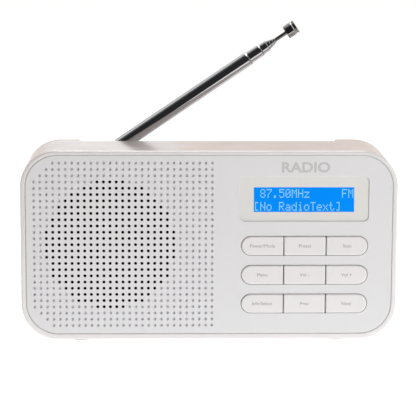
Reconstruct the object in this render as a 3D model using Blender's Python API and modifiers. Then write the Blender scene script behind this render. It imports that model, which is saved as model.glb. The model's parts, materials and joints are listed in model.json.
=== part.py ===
"""Compact tabletop radio with a telescopic antenna, built as separate parts.

Metres, +Z up. The front faces -Y, the feet stand on Z = 0 and the origin is under the middle.
"""

import math

import bmesh
import bpy
from mathutils import Matrix, Vector

# Cabinet
BODY_WIDTH = 0.160
BODY_HEIGHT = 0.0815
BODY_DEPTH = 0.040
BODY_CORNER = 0.0156
BACK_FILLET = 0.004
FRONT_FILLET = 0.0007
WALL = 0.0021
FOOT_STAND = 0.0013
GAP = 0.0003

# Front panel, set into the rim of the cabinet
PANEL_HALF_WIDTH = 0.0776
PANEL_LOW = 0.0041
PANEL_HIGH = 0.0808
PANEL_CORNER = 0.0133
PANEL_THICK = 0.0025
PANEL_GROOVE = 0.00035

# Perforated pattern
HOLE_PITCH = 0.002695
HOLE_ACROSS = 0.00118
SPEAKER_X = -0.0419
SPEAKER_Z = 0.0425
GRID_MIDDLE = 10.05
GRID_COUNT = 21
OPEN_RADIUS_SQUARED = 107

# Loudspeaker
SPEAKER_POST_RING = 0.0315
SPEAKER_POST_RADIUS = 0.00225
SPEAKER_BORE = 0.00095
MAGNET_START = 0.0133
MAGNET_THICK = 0.008
MAGNET_RADIUS = 0.0155
CLOTH_RADIUS = 0.0289
CLOTH_THICK = 0.0002

# Keys: three rows of three, each row one long pill
KEY_PROUD = 0.0005
KEY_TRAVEL = 0.0007
KEY_HEIGHT = 0.00812
KEY_ENDS = (0.01375, 0.0674)
KEY_SPLITS = (0.03170, 0.04970)
KEY_SLIT = 0.00035
KEY_FLANGE = 0.0007
KEY_EDGE = 0.0003
STEM_RADIUS = 0.0016
DOME_RADIUS = 0.0022
DOME_CLEARANCE = 0.0002
MAT_X = (0.0125, 0.0652)
MAT_Z = (0.0105, 0.0475)
MAT_THICK = 0.0007
KEY_ROWS = (0.04204, 0.02950, 0.01697)
KEY_NAMES = (
    ("button_power", "button_preset", "button_scan"),
    ("button_menu", "button_volume_down", "button_volume_up"),
    ("button_select", "button_previous", "button_next"),
)

# Display
LENS_X = (0.01295, 0.0677)
LENS_Z = (0.0526, 0.0719)
LENS_CORNER = 0.0022
LENS_RECESS = 0.0005
LENS_THICK = 0.0013
WINDOW_X = (0.0173, 0.0629)
WINDOW_Z = (0.0551, 0.0687)
GLASS_THICK = 0.0016
BEZEL_MARGIN = 0.0014

# Boards behind the display and keys
CONTROL_X = (0.0100, 0.0655)
CONTROL_Z = (0.0085, 0.0720)
MAIN_X = (0.0, 0.0655)
MAIN_Z = (0.0085, 0.0700)
BOARD_THICK = 0.0014
BOARD_POST_RADIUS = 0.0026
BOARD_BORE = 0.0011
BOARD_HOLE = 0.0014
TUNER_X = (0.018, 0.042)
TUNER_Z = (0.040, 0.062)
TUNER_THICK = 0.0029
RIBBON_X = (0.030, 0.044)
RIBBON_Z = (0.0500, 0.0506)
LEAD_THICK = 0.0012

# Antenna channel and telescopic antenna
CHANNEL_X = (-0.0561, 0.0563)
CHANNEL_FLOOR = 0.0739
PIVOT = Vector((-0.04178, 0.01525, 0.0782))
REST_ANGLE = math.radians(34.23)
SECTION_RADII = (0.0032, 0.00285, 0.0025, 0.00205, 0.0016, 0.00125)
SECTION_ENDS = (0.0723, 0.0788, 0.0821, 0.0836, 0.0850, 0.0861)
SECTION_LENGTH = 0.0640
SECTION_STEP = 0.0007
WALL_OF_TUBE = 0.00025
NECK_RADIUS = 0.0020
PLUG_END = 0.0075
PLUG_OVERLAP = 0.0020
RUNNING_FIT = 0.00005
ROD_RADIUS = 0.0009
ROD_END = 0.0913
TIP_RADIUS = 0.0030
TIP_LENGTH = 0.0064
LUG_RADIUS = 0.0030
LUG_HALF = 0.0022
LUG_BORE = 0.00135
LUG_CLEARANCE = 0.0004
TIP_BORE = 0.0020
TIP_FIT = 0.0001
CHEEK_THICK = 0.0011
FORK_HALF = 0.0031
FORK_FLOOR = 0.0005
FORK_BORE = 0.0015
PIVOT_SCREW_RADIUS = 0.0012

# Battery bay for four upright AA cells, and its door
BAY_X = (0.0010, 0.0615)
BAY_Z = (0.0094, 0.0666)
BAY_FRONT = 0.0030
BAY_WALL = 0.0016
DOOR_X = (-0.0020, 0.0645)
DOOR_Z = (0.0071, 0.0687)
DOOR_THICK = 0.0016
DOOR_CORNER = 0.0017
NOTCH_HALF = 0.007
NOTCH_DEPTH = 0.0008
NOTCH_DROP = (0.001, 0.004)
CELL_PITCH = 0.0150
CONTACT_THICK = 0.0004
CONTACT_HALF = 0.0055
SPRING_HEIGHT = 0.0036
SPRING_RADII = (0.0036, 0.0022)
BUTTON_HEIGHT = 0.0008
BUTTON_RADII = (0.0026, 0.0018)
CONTACTS = {
    "battery_contact_1": ((0, 1), False),
    "battery_contact_2": ((2, 3), False),
    "battery_contact_3": ((0,), True),
    "battery_contact_4": ((1, 2), True),
    "battery_contact_5": ((3,), True),
}

# Fasteners and feet
SCREW_SPOTS = ((-0.0705, 0.0115), (0.0705, 0.0115), (-0.0705, 0.0710), (0.0705, 0.0710))
BOARD_SPOTS = ((0.0045, 0.0120), (0.0045, 0.0690))
WELL_RADIUS = 0.0043
WELL_BORE = 0.0030
WELL_FLOOR = 0.0025
WELL_HOLE = 0.0016
BOSS_RADIUS = 0.00325
BOSS_BORE = 0.0015
REAR_SCREW = (0.0026, 0.0016, 0.0012, 0.0068)
BOARD_SCREW = (0.0024, 0.0012, 0.0009, 0.0065)
SPEAKER_SCREW = (0.0035, 0.0012, 0.00075, 0.0026)
FOOT_RADIUS = 0.0040
FOOT_SUNK = 0.0006
FOOT_SPOTS = {
    "foot_front_left": (-0.0548, -0.0122),
    "foot_front_right": (0.0548, -0.0122),
    "foot_rear_left": (-0.0548, 0.0122),
    "foot_rear_right": (0.0548, 0.0122),
}

# Sockets and vents in the back
DC_SPOT = (-0.0620, 0.0150)
EAR_SPOT = (-0.0460, 0.0150)
JACK_HOLE = 0.0042
VENT_ROWS = 6
VENT_PITCH = 0.0034
VENT_LENGTH = 0.0300
VENT_HEIGHT = 0.0016

# Worked out from the sizes above
FRONT = -(BODY_DEPTH - KEY_PROUD) / 2
BACK = FRONT + BODY_DEPTH
TOP = FOOT_STAND + BODY_HEIGHT
PANEL_BACK = FRONT + PANEL_THICK
ROOM_BACK = BACK - WALL
WELL_FRONT = PANEL_BACK + 0.0053
CHANNEL_FRONT = PIVOT.y - 0.0043
LEDGE = FRONT + LENS_RECESS + LENS_THICK + GAP
BEYOND = 0.002
NOT_QUITE = 0.00005
DOOR_MIDDLE = (DOOR_X[0] + DOOR_X[1]) / 2
FLANGE_BACK = PANEL_BACK + 0.0011
STEM_END = PANEL_BACK + 0.0023
MAT_BACK = PANEL_BACK + 0.0050
BEZEL_BACK = MAT_BACK
BOARD_FRONT = PANEL_BACK + 0.0107
BOARD_BACK = BOARD_FRONT + BOARD_THICK
FRAME_FRONT = PANEL_BACK + 0.0024
POST_END = FRAME_FRONT + 0.0008

REAR = (0, 1, 0)
FORWARD = (0, -1, 0)
DIRECTION = Vector((math.cos(REST_ANGLE), 0, math.sin(REST_ANGLE)))


# ---------------------------------------------------------------- helpers

def clear_scene():
    for item in list(bpy.data.objects):
        bpy.data.objects.remove(item, do_unlink=True)


def new_collection(name):
    collection = bpy.data.collections.new(name)
    bpy.context.scene.collection.children.link(collection)
    return collection


def finish(name, colour, roughness, metallic=0.0):
    """One plain material with the part's colour, roughness and metallic value."""
    look = bpy.data.materials.new(name)
    look.use_nodes = True
    shader = look.node_tree.nodes["Principled BSDF"]
    shader.inputs["Base Color"].default_value = (*colour, 1)
    shader.inputs["Roughness"].default_value = roughness
    shader.inputs["Metallic"].default_value = metallic
    look.diffuse_color = (*colour, 1)
    return look


def add(name, mesh, look):
    """Put a part in the radio's collection, or a cutter, which has no look, with the tools."""
    item = bpy.data.objects.new(name, mesh)
    if look is None:
        TOOLS.objects.link(item)
        item.hide_render = True
        item.display_type = "WIRE"
    else:
        RADIO.objects.link(item)
        mesh.materials.append(look)
    return item


def to_mesh(name, bm):
    mesh = bpy.data.meshes.new(name)
    bm.to_mesh(mesh)
    bm.free()
    return mesh


def block(name, low, high, look=None, radius=0.0, along="Y", side=0, segments=6, rims=()):
    """A box between two corners, with the edges along one axis rounded.

    A side of -1 or 1 rounds only the low or the high X end. Each rim is (end of Y, radius, segments)
    and rounds the whole outline of that end.
    """
    size = Vector(high) - Vector(low)
    bm = bmesh.new()
    bmesh.ops.create_cube(bm, size=1.0)
    bmesh.ops.scale(bm, vec=size, verts=bm.verts)
    if radius:
        axis = "XYZ".index(along)
        edges = [
            e for e in bm.edges
            if abs((e.verts[0].co - e.verts[1].co)[axis]) > size[axis] / 2 and e.verts[0].co.x * side >= 0
        ]
        bmesh.ops.bevel(bm, geom=edges, offset=radius, segments=segments, profile=0.5, affect="EDGES")
    for end, rim_radius, rim_segments in rims:
        edge_y = end * size.y / 2
        edges = [e for e in bm.edges if all(abs(v.co.y - edge_y) < size.y / 1000 for v in e.verts)]
        bmesh.ops.bevel(
            bm, geom=edges, offset=rim_radius, segments=rim_segments, profile=0.5, affect="EDGES"
        )
    item = add(name, to_mesh(name, bm), look)
    item.location = (Vector(high) + Vector(low)) / 2
    return item


def rod(name, start, end, radius, look=None, sides=16, end_radius=None):
    """A round bar between two points, tapered where it is given an end radius."""
    run = Vector(end) - Vector(start)
    bm = bmesh.new()
    bmesh.ops.create_cone(
        bm, cap_ends=True, segments=sides, depth=run.length,
        radius1=radius, radius2=radius if end_radius is None else end_radius,
    )
    mesh = to_mesh(name, bm)
    mesh.shade_smooth()
    mesh.set_sharp_from_angle(angle=math.radians(40))
    item = add(name, mesh, look)
    item.location = (Vector(start) + Vector(end)) / 2
    item.rotation_euler = run.to_track_quat("Z", "Y").to_euler()
    return item


def rods(name, spots, front, back, radius, sides=12):
    """A cutter of equal round bars along Y at several (x, z) spots."""
    bm = bmesh.new()
    turn = Matrix.Rotation(math.radians(90), 4, "X")
    for x, z in spots:
        place = Matrix.Translation((x, (front + back) / 2, z)) @ turn
        bmesh.ops.create_cone(
            bm, cap_ends=True, segments=sides, radius1=radius, radius2=radius,
            depth=back - front, matrix=place,
        )
    return add(name, to_mesh(name, bm), None)


def turned(name, profile, look, place, axis, steps=24, ring=False):
    """A profile of (radius, height) points turned about an axis, its outer side listed top down."""
    count = len(profile)
    edges = [(i, i + 1) for i in range(count - 1)]
    if ring:
        edges.append((count - 1, 0))
    mesh = bpy.data.meshes.new(name)
    mesh.from_pydata([(radius, 0, height) for radius, height in profile], edges, [])
    item = add(name, mesh, look)
    screw = item.modifiers.new("Turn", "SCREW")
    screw.steps = steps
    screw.render_steps = steps
    screw.use_merge_vertices = True
    screw.merge_threshold = 0.000001
    item.location = place
    item.rotation_euler = Vector(axis).to_track_quat("Z", "Y").to_euler()
    return item


def combine(target, tool, operation="DIFFERENCE"):
    modifier = target.modifiers.new(tool.name, "BOOLEAN")
    modifier.operation = operation
    modifier.object = tool
    return target


def wire(name, points, thickness, look):
    """A thin insulated lead through a few points."""
    curve = bpy.data.curves.new(name, "CURVE")
    curve.dimensions = "3D"
    curve.bevel_depth = thickness / 2
    curve.bevel_resolution = 1
    curve.use_fill_caps = True
    spline = curve.splines.new("POLY")
    spline.points.add(len(points) - 1)
    for point, place in zip(spline.points, points):
        point.co = (*place, 1)
    curve.materials.append(look)
    item = bpy.data.objects.new(name, curve)
    RADIO.objects.link(item)
    return item


def hinge_on(items, name, place):
    """Hang moving pieces on an empty that stands on their joint's axis."""
    pivot = bpy.data.objects.new(name, None)
    RADIO.objects.link(pivot)
    pivot.empty_display_size = 0.005
    pivot.location = place
    for item in items:
        item.parent = pivot
        item.matrix_parent_inverse = Matrix.Translation(-Vector(place))


# ---------------------------------------------------------------- cabinet

def cabinet_room():
    """The space inside the cabinet, less the bay, the channel and the screw wells."""
    room = block(
        "room",
        (-PANEL_HALF_WIDTH - PANEL_GROOVE, FRONT - BEYOND, PANEL_LOW - PANEL_GROOVE),
        (PANEL_HALF_WIDTH + PANEL_GROOVE, ROOM_BACK, PANEL_HIGH + PANEL_GROOVE),
        radius=PANEL_CORNER + PANEL_GROOVE, segments=7,
    )
    behind = BACK + BEYOND
    bay_walls = block(
        "bay_walls",
        (BAY_X[0] - BAY_WALL, BAY_FRONT - BAY_WALL, BAY_Z[0] - BAY_WALL),
        (BAY_X[1] + BAY_WALL, behind, BAY_Z[1] + BAY_WALL),
    )
    door_frame = block(
        "door_frame",
        (DOOR_X[0] - WALL, BACK - 2 * WALL, DOOR_Z[0] - WALL),
        (DOOR_X[1] + WALL, behind, DOOR_Z[1] + WALL),
    )
    channel_walls = block(
        "channel_walls",
        (CHANNEL_X[0] - WALL, CHANNEL_FRONT - WALL, CHANNEL_FLOOR - WALL),
        (CHANNEL_X[1] + WALL, behind, TOP + BEYOND),
    )
    wells = rods("wells", SCREW_SPOTS, WELL_FRONT, behind, WELL_RADIUS)
    for solid in (bay_walls, door_frame, channel_walls, wells):
        combine(room, solid)
    return room


def cabinet_shell():
    shell = block(
        "cabinet_shell",
        (-BODY_WIDTH / 2, FRONT, FOOT_STAND), (BODY_WIDTH / 2, BACK, TOP),
        finish("white_gloss_shell", (0.82, 0.76, 0.72), 0.25),
        radius=BODY_CORNER, segments=8, rims=((1, BACK_FILLET, 3), (-1, FRONT_FILLET, 1)),
    )
    behind = BACK + BEYOND
    combine(shell, cabinet_room())
    combine(shell, block(
        "channel", (CHANNEL_X[0], CHANNEL_FRONT, CHANNEL_FLOOR), (CHANNEL_X[1], behind, TOP + BEYOND)
    ))
    combine(shell, block("bay", (BAY_X[0], BAY_FRONT, BAY_Z[0]), (BAY_X[1], behind, BAY_Z[1])))
    combine(shell, block(
        "door_recess",
        (DOOR_X[0] - GAP, BACK - DOOR_THICK - GAP, DOOR_Z[0] - GAP),
        (DOOR_X[1] + GAP, behind, DOOR_Z[1] + GAP), radius=DOOR_CORNER + GAP, segments=3,
    ))
    combine(shell, rods("well_bores", SCREW_SPOTS, WELL_FRONT + WELL_FLOOR, behind, WELL_BORE))
    combine(shell, rods(
        "well_holes", SCREW_SPOTS, WELL_FRONT - BEYOND, WELL_FRONT + BEYOND * 2, WELL_HOLE, 8
    ))
    combine(shell, rods("jack_holes", (DC_SPOT, EAR_SPOT), ROOM_BACK - BEYOND, behind, JACK_HOLE, 20))
    combine(shell, vents())
    combine(shell, foot_pockets())
    return shell


def vents():
    """Level slots behind the loudspeaker."""
    bm = bmesh.new()
    for row in range(VENT_ROWS):
        height = SPEAKER_Z + (row - (VENT_ROWS - 1) / 2) * VENT_PITCH
        place = Matrix.Translation((SPEAKER_X, BACK, height)) @ Matrix.Diagonal(
            (VENT_LENGTH, 4 * WALL, VENT_HEIGHT, 1)
        )
        bmesh.ops.create_cube(bm, size=1.0, matrix=place)
    return add("vents", to_mesh("vents", bm), None)


def foot_pockets():
    bm = bmesh.new()
    for x, y in FOOT_SPOTS.values():
        bmesh.ops.create_cone(
            bm, cap_ends=True, segments=20, radius1=FOOT_RADIUS + GAP, radius2=FOOT_RADIUS + GAP,
            depth=4 * FOOT_SUNK, matrix=Matrix.Translation((x, y, FOOT_STAND - FOOT_SUNK)),
        )
    return add("foot_pockets", to_mesh("foot_pockets", bm), None)


def feet():
    rubber = finish("grey_rubber", (0.10, 0.10, 0.10), 0.8)
    for name, (x, y) in FOOT_SPOTS.items():
        rod(name, (x, y, 0), (x, y, FOOT_STAND + FOOT_SUNK - GAP), FOOT_RADIUS, rubber, sides=20)


def battery_door():
    """The door swings down about its lower outer edge."""
    door = block(
        "battery_door",
        (DOOR_X[0], BACK - DOOR_THICK, DOOR_Z[0]), (DOOR_X[1], BACK, DOOR_Z[1]),
        finish("white_gloss_door", (0.82, 0.76, 0.72), 0.3), radius=DOOR_CORNER, segments=3,
    )
    combine(door, block(
        "finger_notch",
        (DOOR_MIDDLE - NOTCH_HALF, BACK - NOTCH_DEPTH, DOOR_Z[1] - NOTCH_DROP[1]),
        (DOOR_MIDDLE + NOTCH_HALF, BACK + BEYOND, DOOR_Z[1] - NOTCH_DROP[0]), radius=0.001, segments=2,
    ))
    hinge_on([door], "battery_door_axis", (DOOR_MIDDLE, BACK, DOOR_Z[0]))


def battery_contacts():
    """Nickel strips at both ends of the bay, each with a spring or a button for every cell it meets."""
    nickel = finish("nickel_strip", (0.75, 0.73, 0.68), 0.25, 1.0)
    for name, (cells, top) in CONTACTS.items():
        inward = -1 if top else 1
        base = BAY_Z[1] - GAP if top else BAY_Z[0] + GAP
        face = base + inward * CONTACT_THICK
        middle = (BAY_FRONT + BACK - DOOR_THICK) / 2
        strip = block(
            name,
            (cell_x(cells[0]) - CONTACT_HALF, middle - CONTACT_HALF, min(base, face)),
            (cell_x(cells[-1]) + CONTACT_HALF, middle + CONTACT_HALF, max(base, face)), nickel,
        )
        for cell in cells:
            sprung = (cell % 2 == 0) != top
            height = SPRING_HEIGHT if sprung else BUTTON_HEIGHT
            wide, narrow = SPRING_RADII if sprung else BUTTON_RADII
            combine(strip, rod(
                f"{name}_boss_{cell}", (cell_x(cell), middle, face - inward * CONTACT_THICK / 2),
                (cell_x(cell), middle, face + inward * height), wide, sides=10, end_radius=narrow,
            ), "UNION")


def cell_x(cell):
    return (BAY_X[0] + BAY_X[1]) / 2 + (cell - 1.5) * CELL_PITCH


def rear_screws():
    steel = finish("screw_steel", (0.55, 0.55, 0.56), 0.35, 1.0)
    for number, (x, z) in enumerate(SCREW_SPOTS, 1):
        head = WELL_FRONT + WELL_FLOOR + GAP
        screw(f"rear_screw_{number}", (x, head, z), REAR_SCREW, steel)


def screw(name, seat, sizes, look):
    """A pan-head screw that points forward, seated on the back of what it holds.

    The sizes are the head's radius and height, then the shank's radius and length.
    """
    head_radius, head_height, shank_radius, shank_length = sizes
    return turned(
        name,
        (
            (0, head_height), (head_radius * 0.7, head_height), (head_radius, head_height * 0.55),
            (head_radius, 0), (shank_radius, 0), (shank_radius, -shank_length), (0, -shank_length),
        ),
        look, seat, REAR, steps=12,
    )


# ---------------------------------------------------------------- front panel

def front_panel():
    panel = block(
        "front_panel",
        (-PANEL_HALF_WIDTH, FRONT, PANEL_LOW), (PANEL_HALF_WIDTH, PANEL_BACK, PANEL_HIGH),
        finish("white_satin_panel", (0.74, 0.73, 0.76), 0.45), radius=PANEL_CORNER, segments=7,
    )
    seat = PANEL_BACK - PANEL_THICK / 4
    combine(panel, rods("screw_bosses", SCREW_SPOTS, seat, WELL_FRONT - GAP, BOSS_RADIUS), "UNION")
    combine(panel, rods(
        "board_posts", BOARD_SPOTS, seat, BOARD_FRONT - GAP, BOARD_POST_RADIUS
    ), "UNION")
    combine(panel, rods("speaker_posts", speaker_spots(), seat, POST_END, SPEAKER_POST_RADIUS), "UNION")
    bore_start = PANEL_BACK + GAP
    combine(panel, rods("screw_bores", SCREW_SPOTS, bore_start, WELL_FRONT, BOSS_BORE, 8))
    combine(panel, rods("board_bores", BOARD_SPOTS, bore_start, BOARD_FRONT, BOARD_BORE, 8))
    combine(panel, rods("speaker_bores", speaker_spots(), bore_start, POST_END + GAP, SPEAKER_BORE, 8))
    combine(panel, block(
        "lens_pocket",
        (LENS_X[0], FRONT - BEYOND, LENS_Z[0]), (LENS_X[1], LEDGE, LENS_Z[1]),
        radius=LENS_CORNER, segments=4,
    ))
    combine(panel, block(
        "display_window",
        (WINDOW_X[0], FRONT - BEYOND, WINDOW_Z[0]), (WINDOW_X[1], PANEL_BACK + BEYOND, WINDOW_Z[1]),
    ))
    for number, height in enumerate(KEY_ROWS):
        half = KEY_HEIGHT / 2 + GAP
        combine(panel, block(
            f"key_slot_{number}",
            (KEY_ENDS[0] - GAP, FRONT - BEYOND, height - half),
            (KEY_ENDS[1] + GAP, PANEL_BACK + BEYOND, height + half), radius=half - NOT_QUITE,
        ))
    combine(panel, grille_holes())
    return panel


def grille_holes():
    """Square holes on the square pitch, over the round area in front of the loudspeaker."""
    bm = bmesh.new()
    turn = Matrix.Rotation(math.radians(90), 4, "X") @ Matrix.Rotation(math.radians(45), 4, "Z")
    for row in range(GRID_COUNT):
        for column in range(GRID_COUNT):
            across = column - GRID_MIDDLE
            down = row - GRID_MIDDLE
            if across ** 2 + down ** 2 > OPEN_RADIUS_SQUARED:
                continue
            place = Matrix.Translation((
                SPEAKER_X + across * HOLE_PITCH, FRONT + PANEL_THICK / 2, SPEAKER_Z - down * HOLE_PITCH
            ))
            bmesh.ops.create_cone(
                bm, cap_ends=True, segments=4, depth=2 * PANEL_THICK,
                radius1=HOLE_ACROSS / math.sqrt(2), radius2=HOLE_ACROSS / math.sqrt(2), matrix=place @ turn,
            )
    return add("grille_holes", to_mesh("grille_holes", bm), None)


def display_lens():
    block(
        "display_lens",
        (LENS_X[0] + GAP, FRONT + LENS_RECESS, LENS_Z[0] + GAP),
        (LENS_X[1] - GAP, FRONT + LENS_RECESS + LENS_THICK, LENS_Z[1] - GAP),
        finish("display_lens", (0.73, 0.73, 0.71), 0.2), radius=LENS_CORNER - GAP, segments=4,
    )


def keys():
    white = finish("white_key", (0.78, 0.76, 0.76), 0.4)
    edges = (KEY_ENDS[0], KEY_SPLITS[0], KEY_SPLITS[1], KEY_ENDS[1])
    for names, height in zip(KEY_NAMES, KEY_ROWS):
        for place, name in enumerate(names):
            low = edges[place] + (KEY_SLIT / 2 if place else 0)
            high = edges[place + 1] - (KEY_SLIT / 2 if place < 2 else 0)
            key(name, low, high, height, place - 1, white)


def key(name, low, high, height, side, look):
    """A key cap with a flange behind the panel and a stem to the rubber dome.

    The side is -1 or 1 for a key with a round left or right end, and 0 for a middle key.
    """
    half = KEY_HEIGHT / 2
    radius = half - NOT_QUITE if side else KEY_EDGE
    cap = block(
        name, (low, FRONT - KEY_PROUD, height - half), (high, FLANGE_BACK - GAP, height + half), look,
        radius=radius, side=side, segments=6 if side else 1,
    )
    wide = half + KEY_FLANGE
    flange = block(
        f"{name}_flange",
        (low - (KEY_FLANGE if side < 0 else 0), PANEL_BACK + GAP, height - wide),
        (high + (KEY_FLANGE if side > 0 else 0), FLANGE_BACK, height + wide),
        radius=wide - NOT_QUITE if side else KEY_EDGE, side=side, segments=6 if side else 1,
    )
    combine(cap, flange, "UNION")
    middle = (low + high) / 2
    stem = rod(
        f"{name}_stem", (middle, FLANGE_BACK - GAP, height), (middle, STEM_END, height), STEM_RADIUS,
        sides=10,
    )
    combine(cap, stem, "UNION")
    hinge_on([cap], f"{name}_travel", (middle, FRONT, height))


def keypad():
    """A rubber sheet with one dome behind each key, on the control board."""
    mat = block(
        "keypad_mat", (MAT_X[0], MAT_BACK - MAT_THICK, MAT_Z[0]), (MAT_X[1], MAT_BACK, MAT_Z[1]),
        finish("keypad_rubber", (0.25, 0.25, 0.26), 0.8),
    )
    edges = (KEY_ENDS[0], KEY_SPLITS[0], KEY_SPLITS[1], KEY_ENDS[1])
    spots = [((edges[i] + edges[i + 1]) / 2, height) for height in KEY_ROWS for i in range(3)]
    dome_top = STEM_END + KEY_TRAVEL + DOME_CLEARANCE
    combine(mat, rods("domes", spots, dome_top, MAT_BACK - GAP, DOME_RADIUS, 8), "UNION")


# ---------------------------------------------------------------- display and boards

def display_module():
    x_low, x_high = WINDOW_X[0] - GAP, WINDOW_X[1] + GAP
    z_low, z_high = WINDOW_Z[0] - GAP / 3, WINDOW_Z[1] + GAP / 3
    start = PANEL_BACK + GAP
    glass_back = start + GLASS_THICK
    block("lcd_glass", (x_low, start, z_low), (x_high, glass_back, z_high),
          finish("lcd_blue", (0.0, 0.24, 0.97), 0.3))
    block("lcd_backlight", (x_low, glass_back + GAP, z_low), (x_high, BEZEL_BACK, z_high),
          finish("backlight_guide", (0.85, 0.88, 0.92), 0.4))
    bezel = block(
        "lcd_bezel",
        (x_low - BEZEL_MARGIN, start, z_low - BEZEL_MARGIN),
        (x_high + BEZEL_MARGIN, BEZEL_BACK, z_high + BEZEL_MARGIN),
        finish("bezel_steel", (0.45, 0.45, 0.46), 0.4, 1.0),
    )
    combine(bezel, block(
        "bezel_window",
        (x_low - GAP, start - BEYOND, z_low - GAP), (x_high + GAP, BEZEL_BACK + BEYOND, z_high + GAP),
    ))


def boards():
    green = finish("circuit_board", (0.05, 0.20, 0.09), 0.45)
    front = MAT_BACK + GAP
    block(
        "control_board",
        (CONTROL_X[0], front, CONTROL_Z[0]), (CONTROL_X[1], front + BOARD_THICK, CONTROL_Z[1]), green,
    )
    main = block(
        "main_board", (MAIN_X[0], BOARD_FRONT, MAIN_Z[0]), (MAIN_X[1], BOARD_BACK, MAIN_Z[1]), green
    )
    combine(main, rods("board_holes", BOARD_SPOTS, BOARD_FRONT - GAP, BOARD_BACK + GAP, BOARD_HOLE, 8))
    block(
        "tuner_module",
        (TUNER_X[0], BOARD_BACK + GAP, TUNER_Z[0]), (TUNER_X[1], BOARD_BACK + GAP + TUNER_THICK, TUNER_Z[1]),
        finish("tinned_can", (0.62, 0.62, 0.60), 0.3, 1.0),
    )
    block(
        "board_ribbon",
        (RIBBON_X[0], front + BOARD_THICK + GAP, RIBBON_Z[0]), (RIBBON_X[1], BOARD_FRONT - GAP, RIBBON_Z[1]),
        finish("ribbon_cable", (0.55, 0.56, 0.58), 0.6),
    )
    steel = finish("board_screw_steel", (0.55, 0.55, 0.56), 0.35, 1.0)
    for number, (x, z) in enumerate(BOARD_SPOTS, 1):
        screw(f"board_screw_{number}", (x, BOARD_BACK + GAP, z), BOARD_SCREW, steel)


def wires():
    red = finish("lead_red", (0.45, 0.03, 0.03), 0.5)
    grey = finish("lead_grey", (0.20, 0.20, 0.21), 0.5)
    wire("speaker_wire", (
        (-0.0250, -0.0020, 0.0530), (-0.0180, -0.0020, 0.0565), (-0.0080, -0.0032, 0.0585),
        (-0.0006, -0.0056, 0.0590),
    ), LEAD_THICK, red)
    wire("antenna_wire", (
        (-0.0415, 0.0145, 0.0714), (-0.0380, 0.0120, 0.0680), (-0.0280, 0.0095, 0.0660),
        (-0.0140, 0.0040, 0.0620), (-0.0040, -0.0010, 0.0580), (0.0080, -0.0026, 0.0540),
        (0.0174, -0.0034, 0.0520),
    ), LEAD_THICK, grey)


def jacks():
    black = finish("jack_black", (0.02, 0.02, 0.02), 0.4)
    mouth = -GAP
    turned(
        "dc_jack",
        (
            (0, mouth - 0.0015), (0.0010, mouth - 0.0015), (0.0010, mouth - 0.0085),
            (0.0030, mouth - 0.0085), (0.0030, mouth), (0.0039, mouth), (0.0039, -0.0110), (0, -0.0110),
        ),
        black, (DC_SPOT[0], BACK, DC_SPOT[1]), REAR, steps=20,
    )
    turned(
        "earphone_jack",
        (
            (0, -0.0120), (0.0018, -0.0120), (0.0018, mouth), (0.0039, mouth), (0.0039, -0.0035),
            (0.0030, -0.0035), (0.0030, -0.0140), (0, -0.0140),
        ),
        black, (EAR_SPOT[0], BACK, EAR_SPOT[1]), REAR, steps=20,
    )


# ---------------------------------------------------------------- loudspeaker

def speaker_spots():
    """Screw posts just outside the loudspeaker's rim."""
    angles = [math.radians(90 + 120 * turn) for turn in range(3)]
    ring = SPEAKER_POST_RING
    return [(SPEAKER_X + ring * math.cos(a), SPEAKER_Z + ring * math.sin(a)) for a in angles]


def loudspeaker():
    """Cloth, gasket, frame, cone and magnet, stacked behind the holes. Heights run back from the frame."""
    place = (SPEAKER_X, FRAME_FRONT, SPEAKER_Z)
    turned("speaker_frame", (
        (0.0285, 0), (0.0285, -0.0008), (0.0252, -0.0008), (0.0160, -0.0115), (0.0160, -0.0130),
        (0.0080, -0.0130), (0.0080, -0.0120), (0.0150, -0.0120), (0.0150, -0.0112), (0.0244, 0),
    ), finish("speaker_frame_steel", (0.30, 0.30, 0.31), 0.4, 1.0), place, FORWARD, ring=True)
    turned("speaker_cone", (
        (0, -0.0060), (0.0045, -0.0068), (0.0074, -0.0086), (0.0190, -0.0016), (0.0208, -0.0006),
        (0.0226, -0.0010), (0.0226, -0.0016), (0.0209, -0.0013), (0.0191, -0.0024), (0.0074, -0.0096),
        (0, -0.0096),
    ), finish("speaker_paper", (0.03, 0.03, 0.03), 0.8), place, FORWARD)
    back = FRAME_FRONT + MAGNET_START
    rod(
        "speaker_magnet", (SPEAKER_X, back, SPEAKER_Z), (SPEAKER_X, back + MAGNET_THICK, SPEAKER_Z),
        MAGNET_RADIUS, finish("ferrite", (0.07, 0.07, 0.07), 0.5), sides=24,
    )
    turned("speaker_gasket", (
        (0.0284, 0.0016), (0.0284, GAP), (0.0256, GAP), (0.0256, 0.0016),
    ), finish("foam_gasket", (0.05, 0.05, 0.05), 0.9), place, FORWARD, ring=True)
    cloth = PANEL_BACK + GAP
    rod(
        "grille_cloth", (SPEAKER_X, cloth, SPEAKER_Z), (SPEAKER_X, cloth + CLOTH_THICK, SPEAKER_Z),
        CLOTH_RADIUS, finish("grille_cloth", (0.015, 0.015, 0.015), 0.95), sides=32,
    )
    steel = finish("speaker_screw_steel", (0.55, 0.55, 0.56), 0.35, 1.0)
    for number, (x, z) in enumerate(speaker_spots(), 1):
        screw(f"speaker_screw_{number}", (x, POST_END + GAP, z), SPEAKER_SCREW, steel)


# ---------------------------------------------------------------- antenna

def along(distance):
    """A point on the antenna's axis, at a distance from the pivot."""
    return PIVOT + DIRECTION * distance


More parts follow.
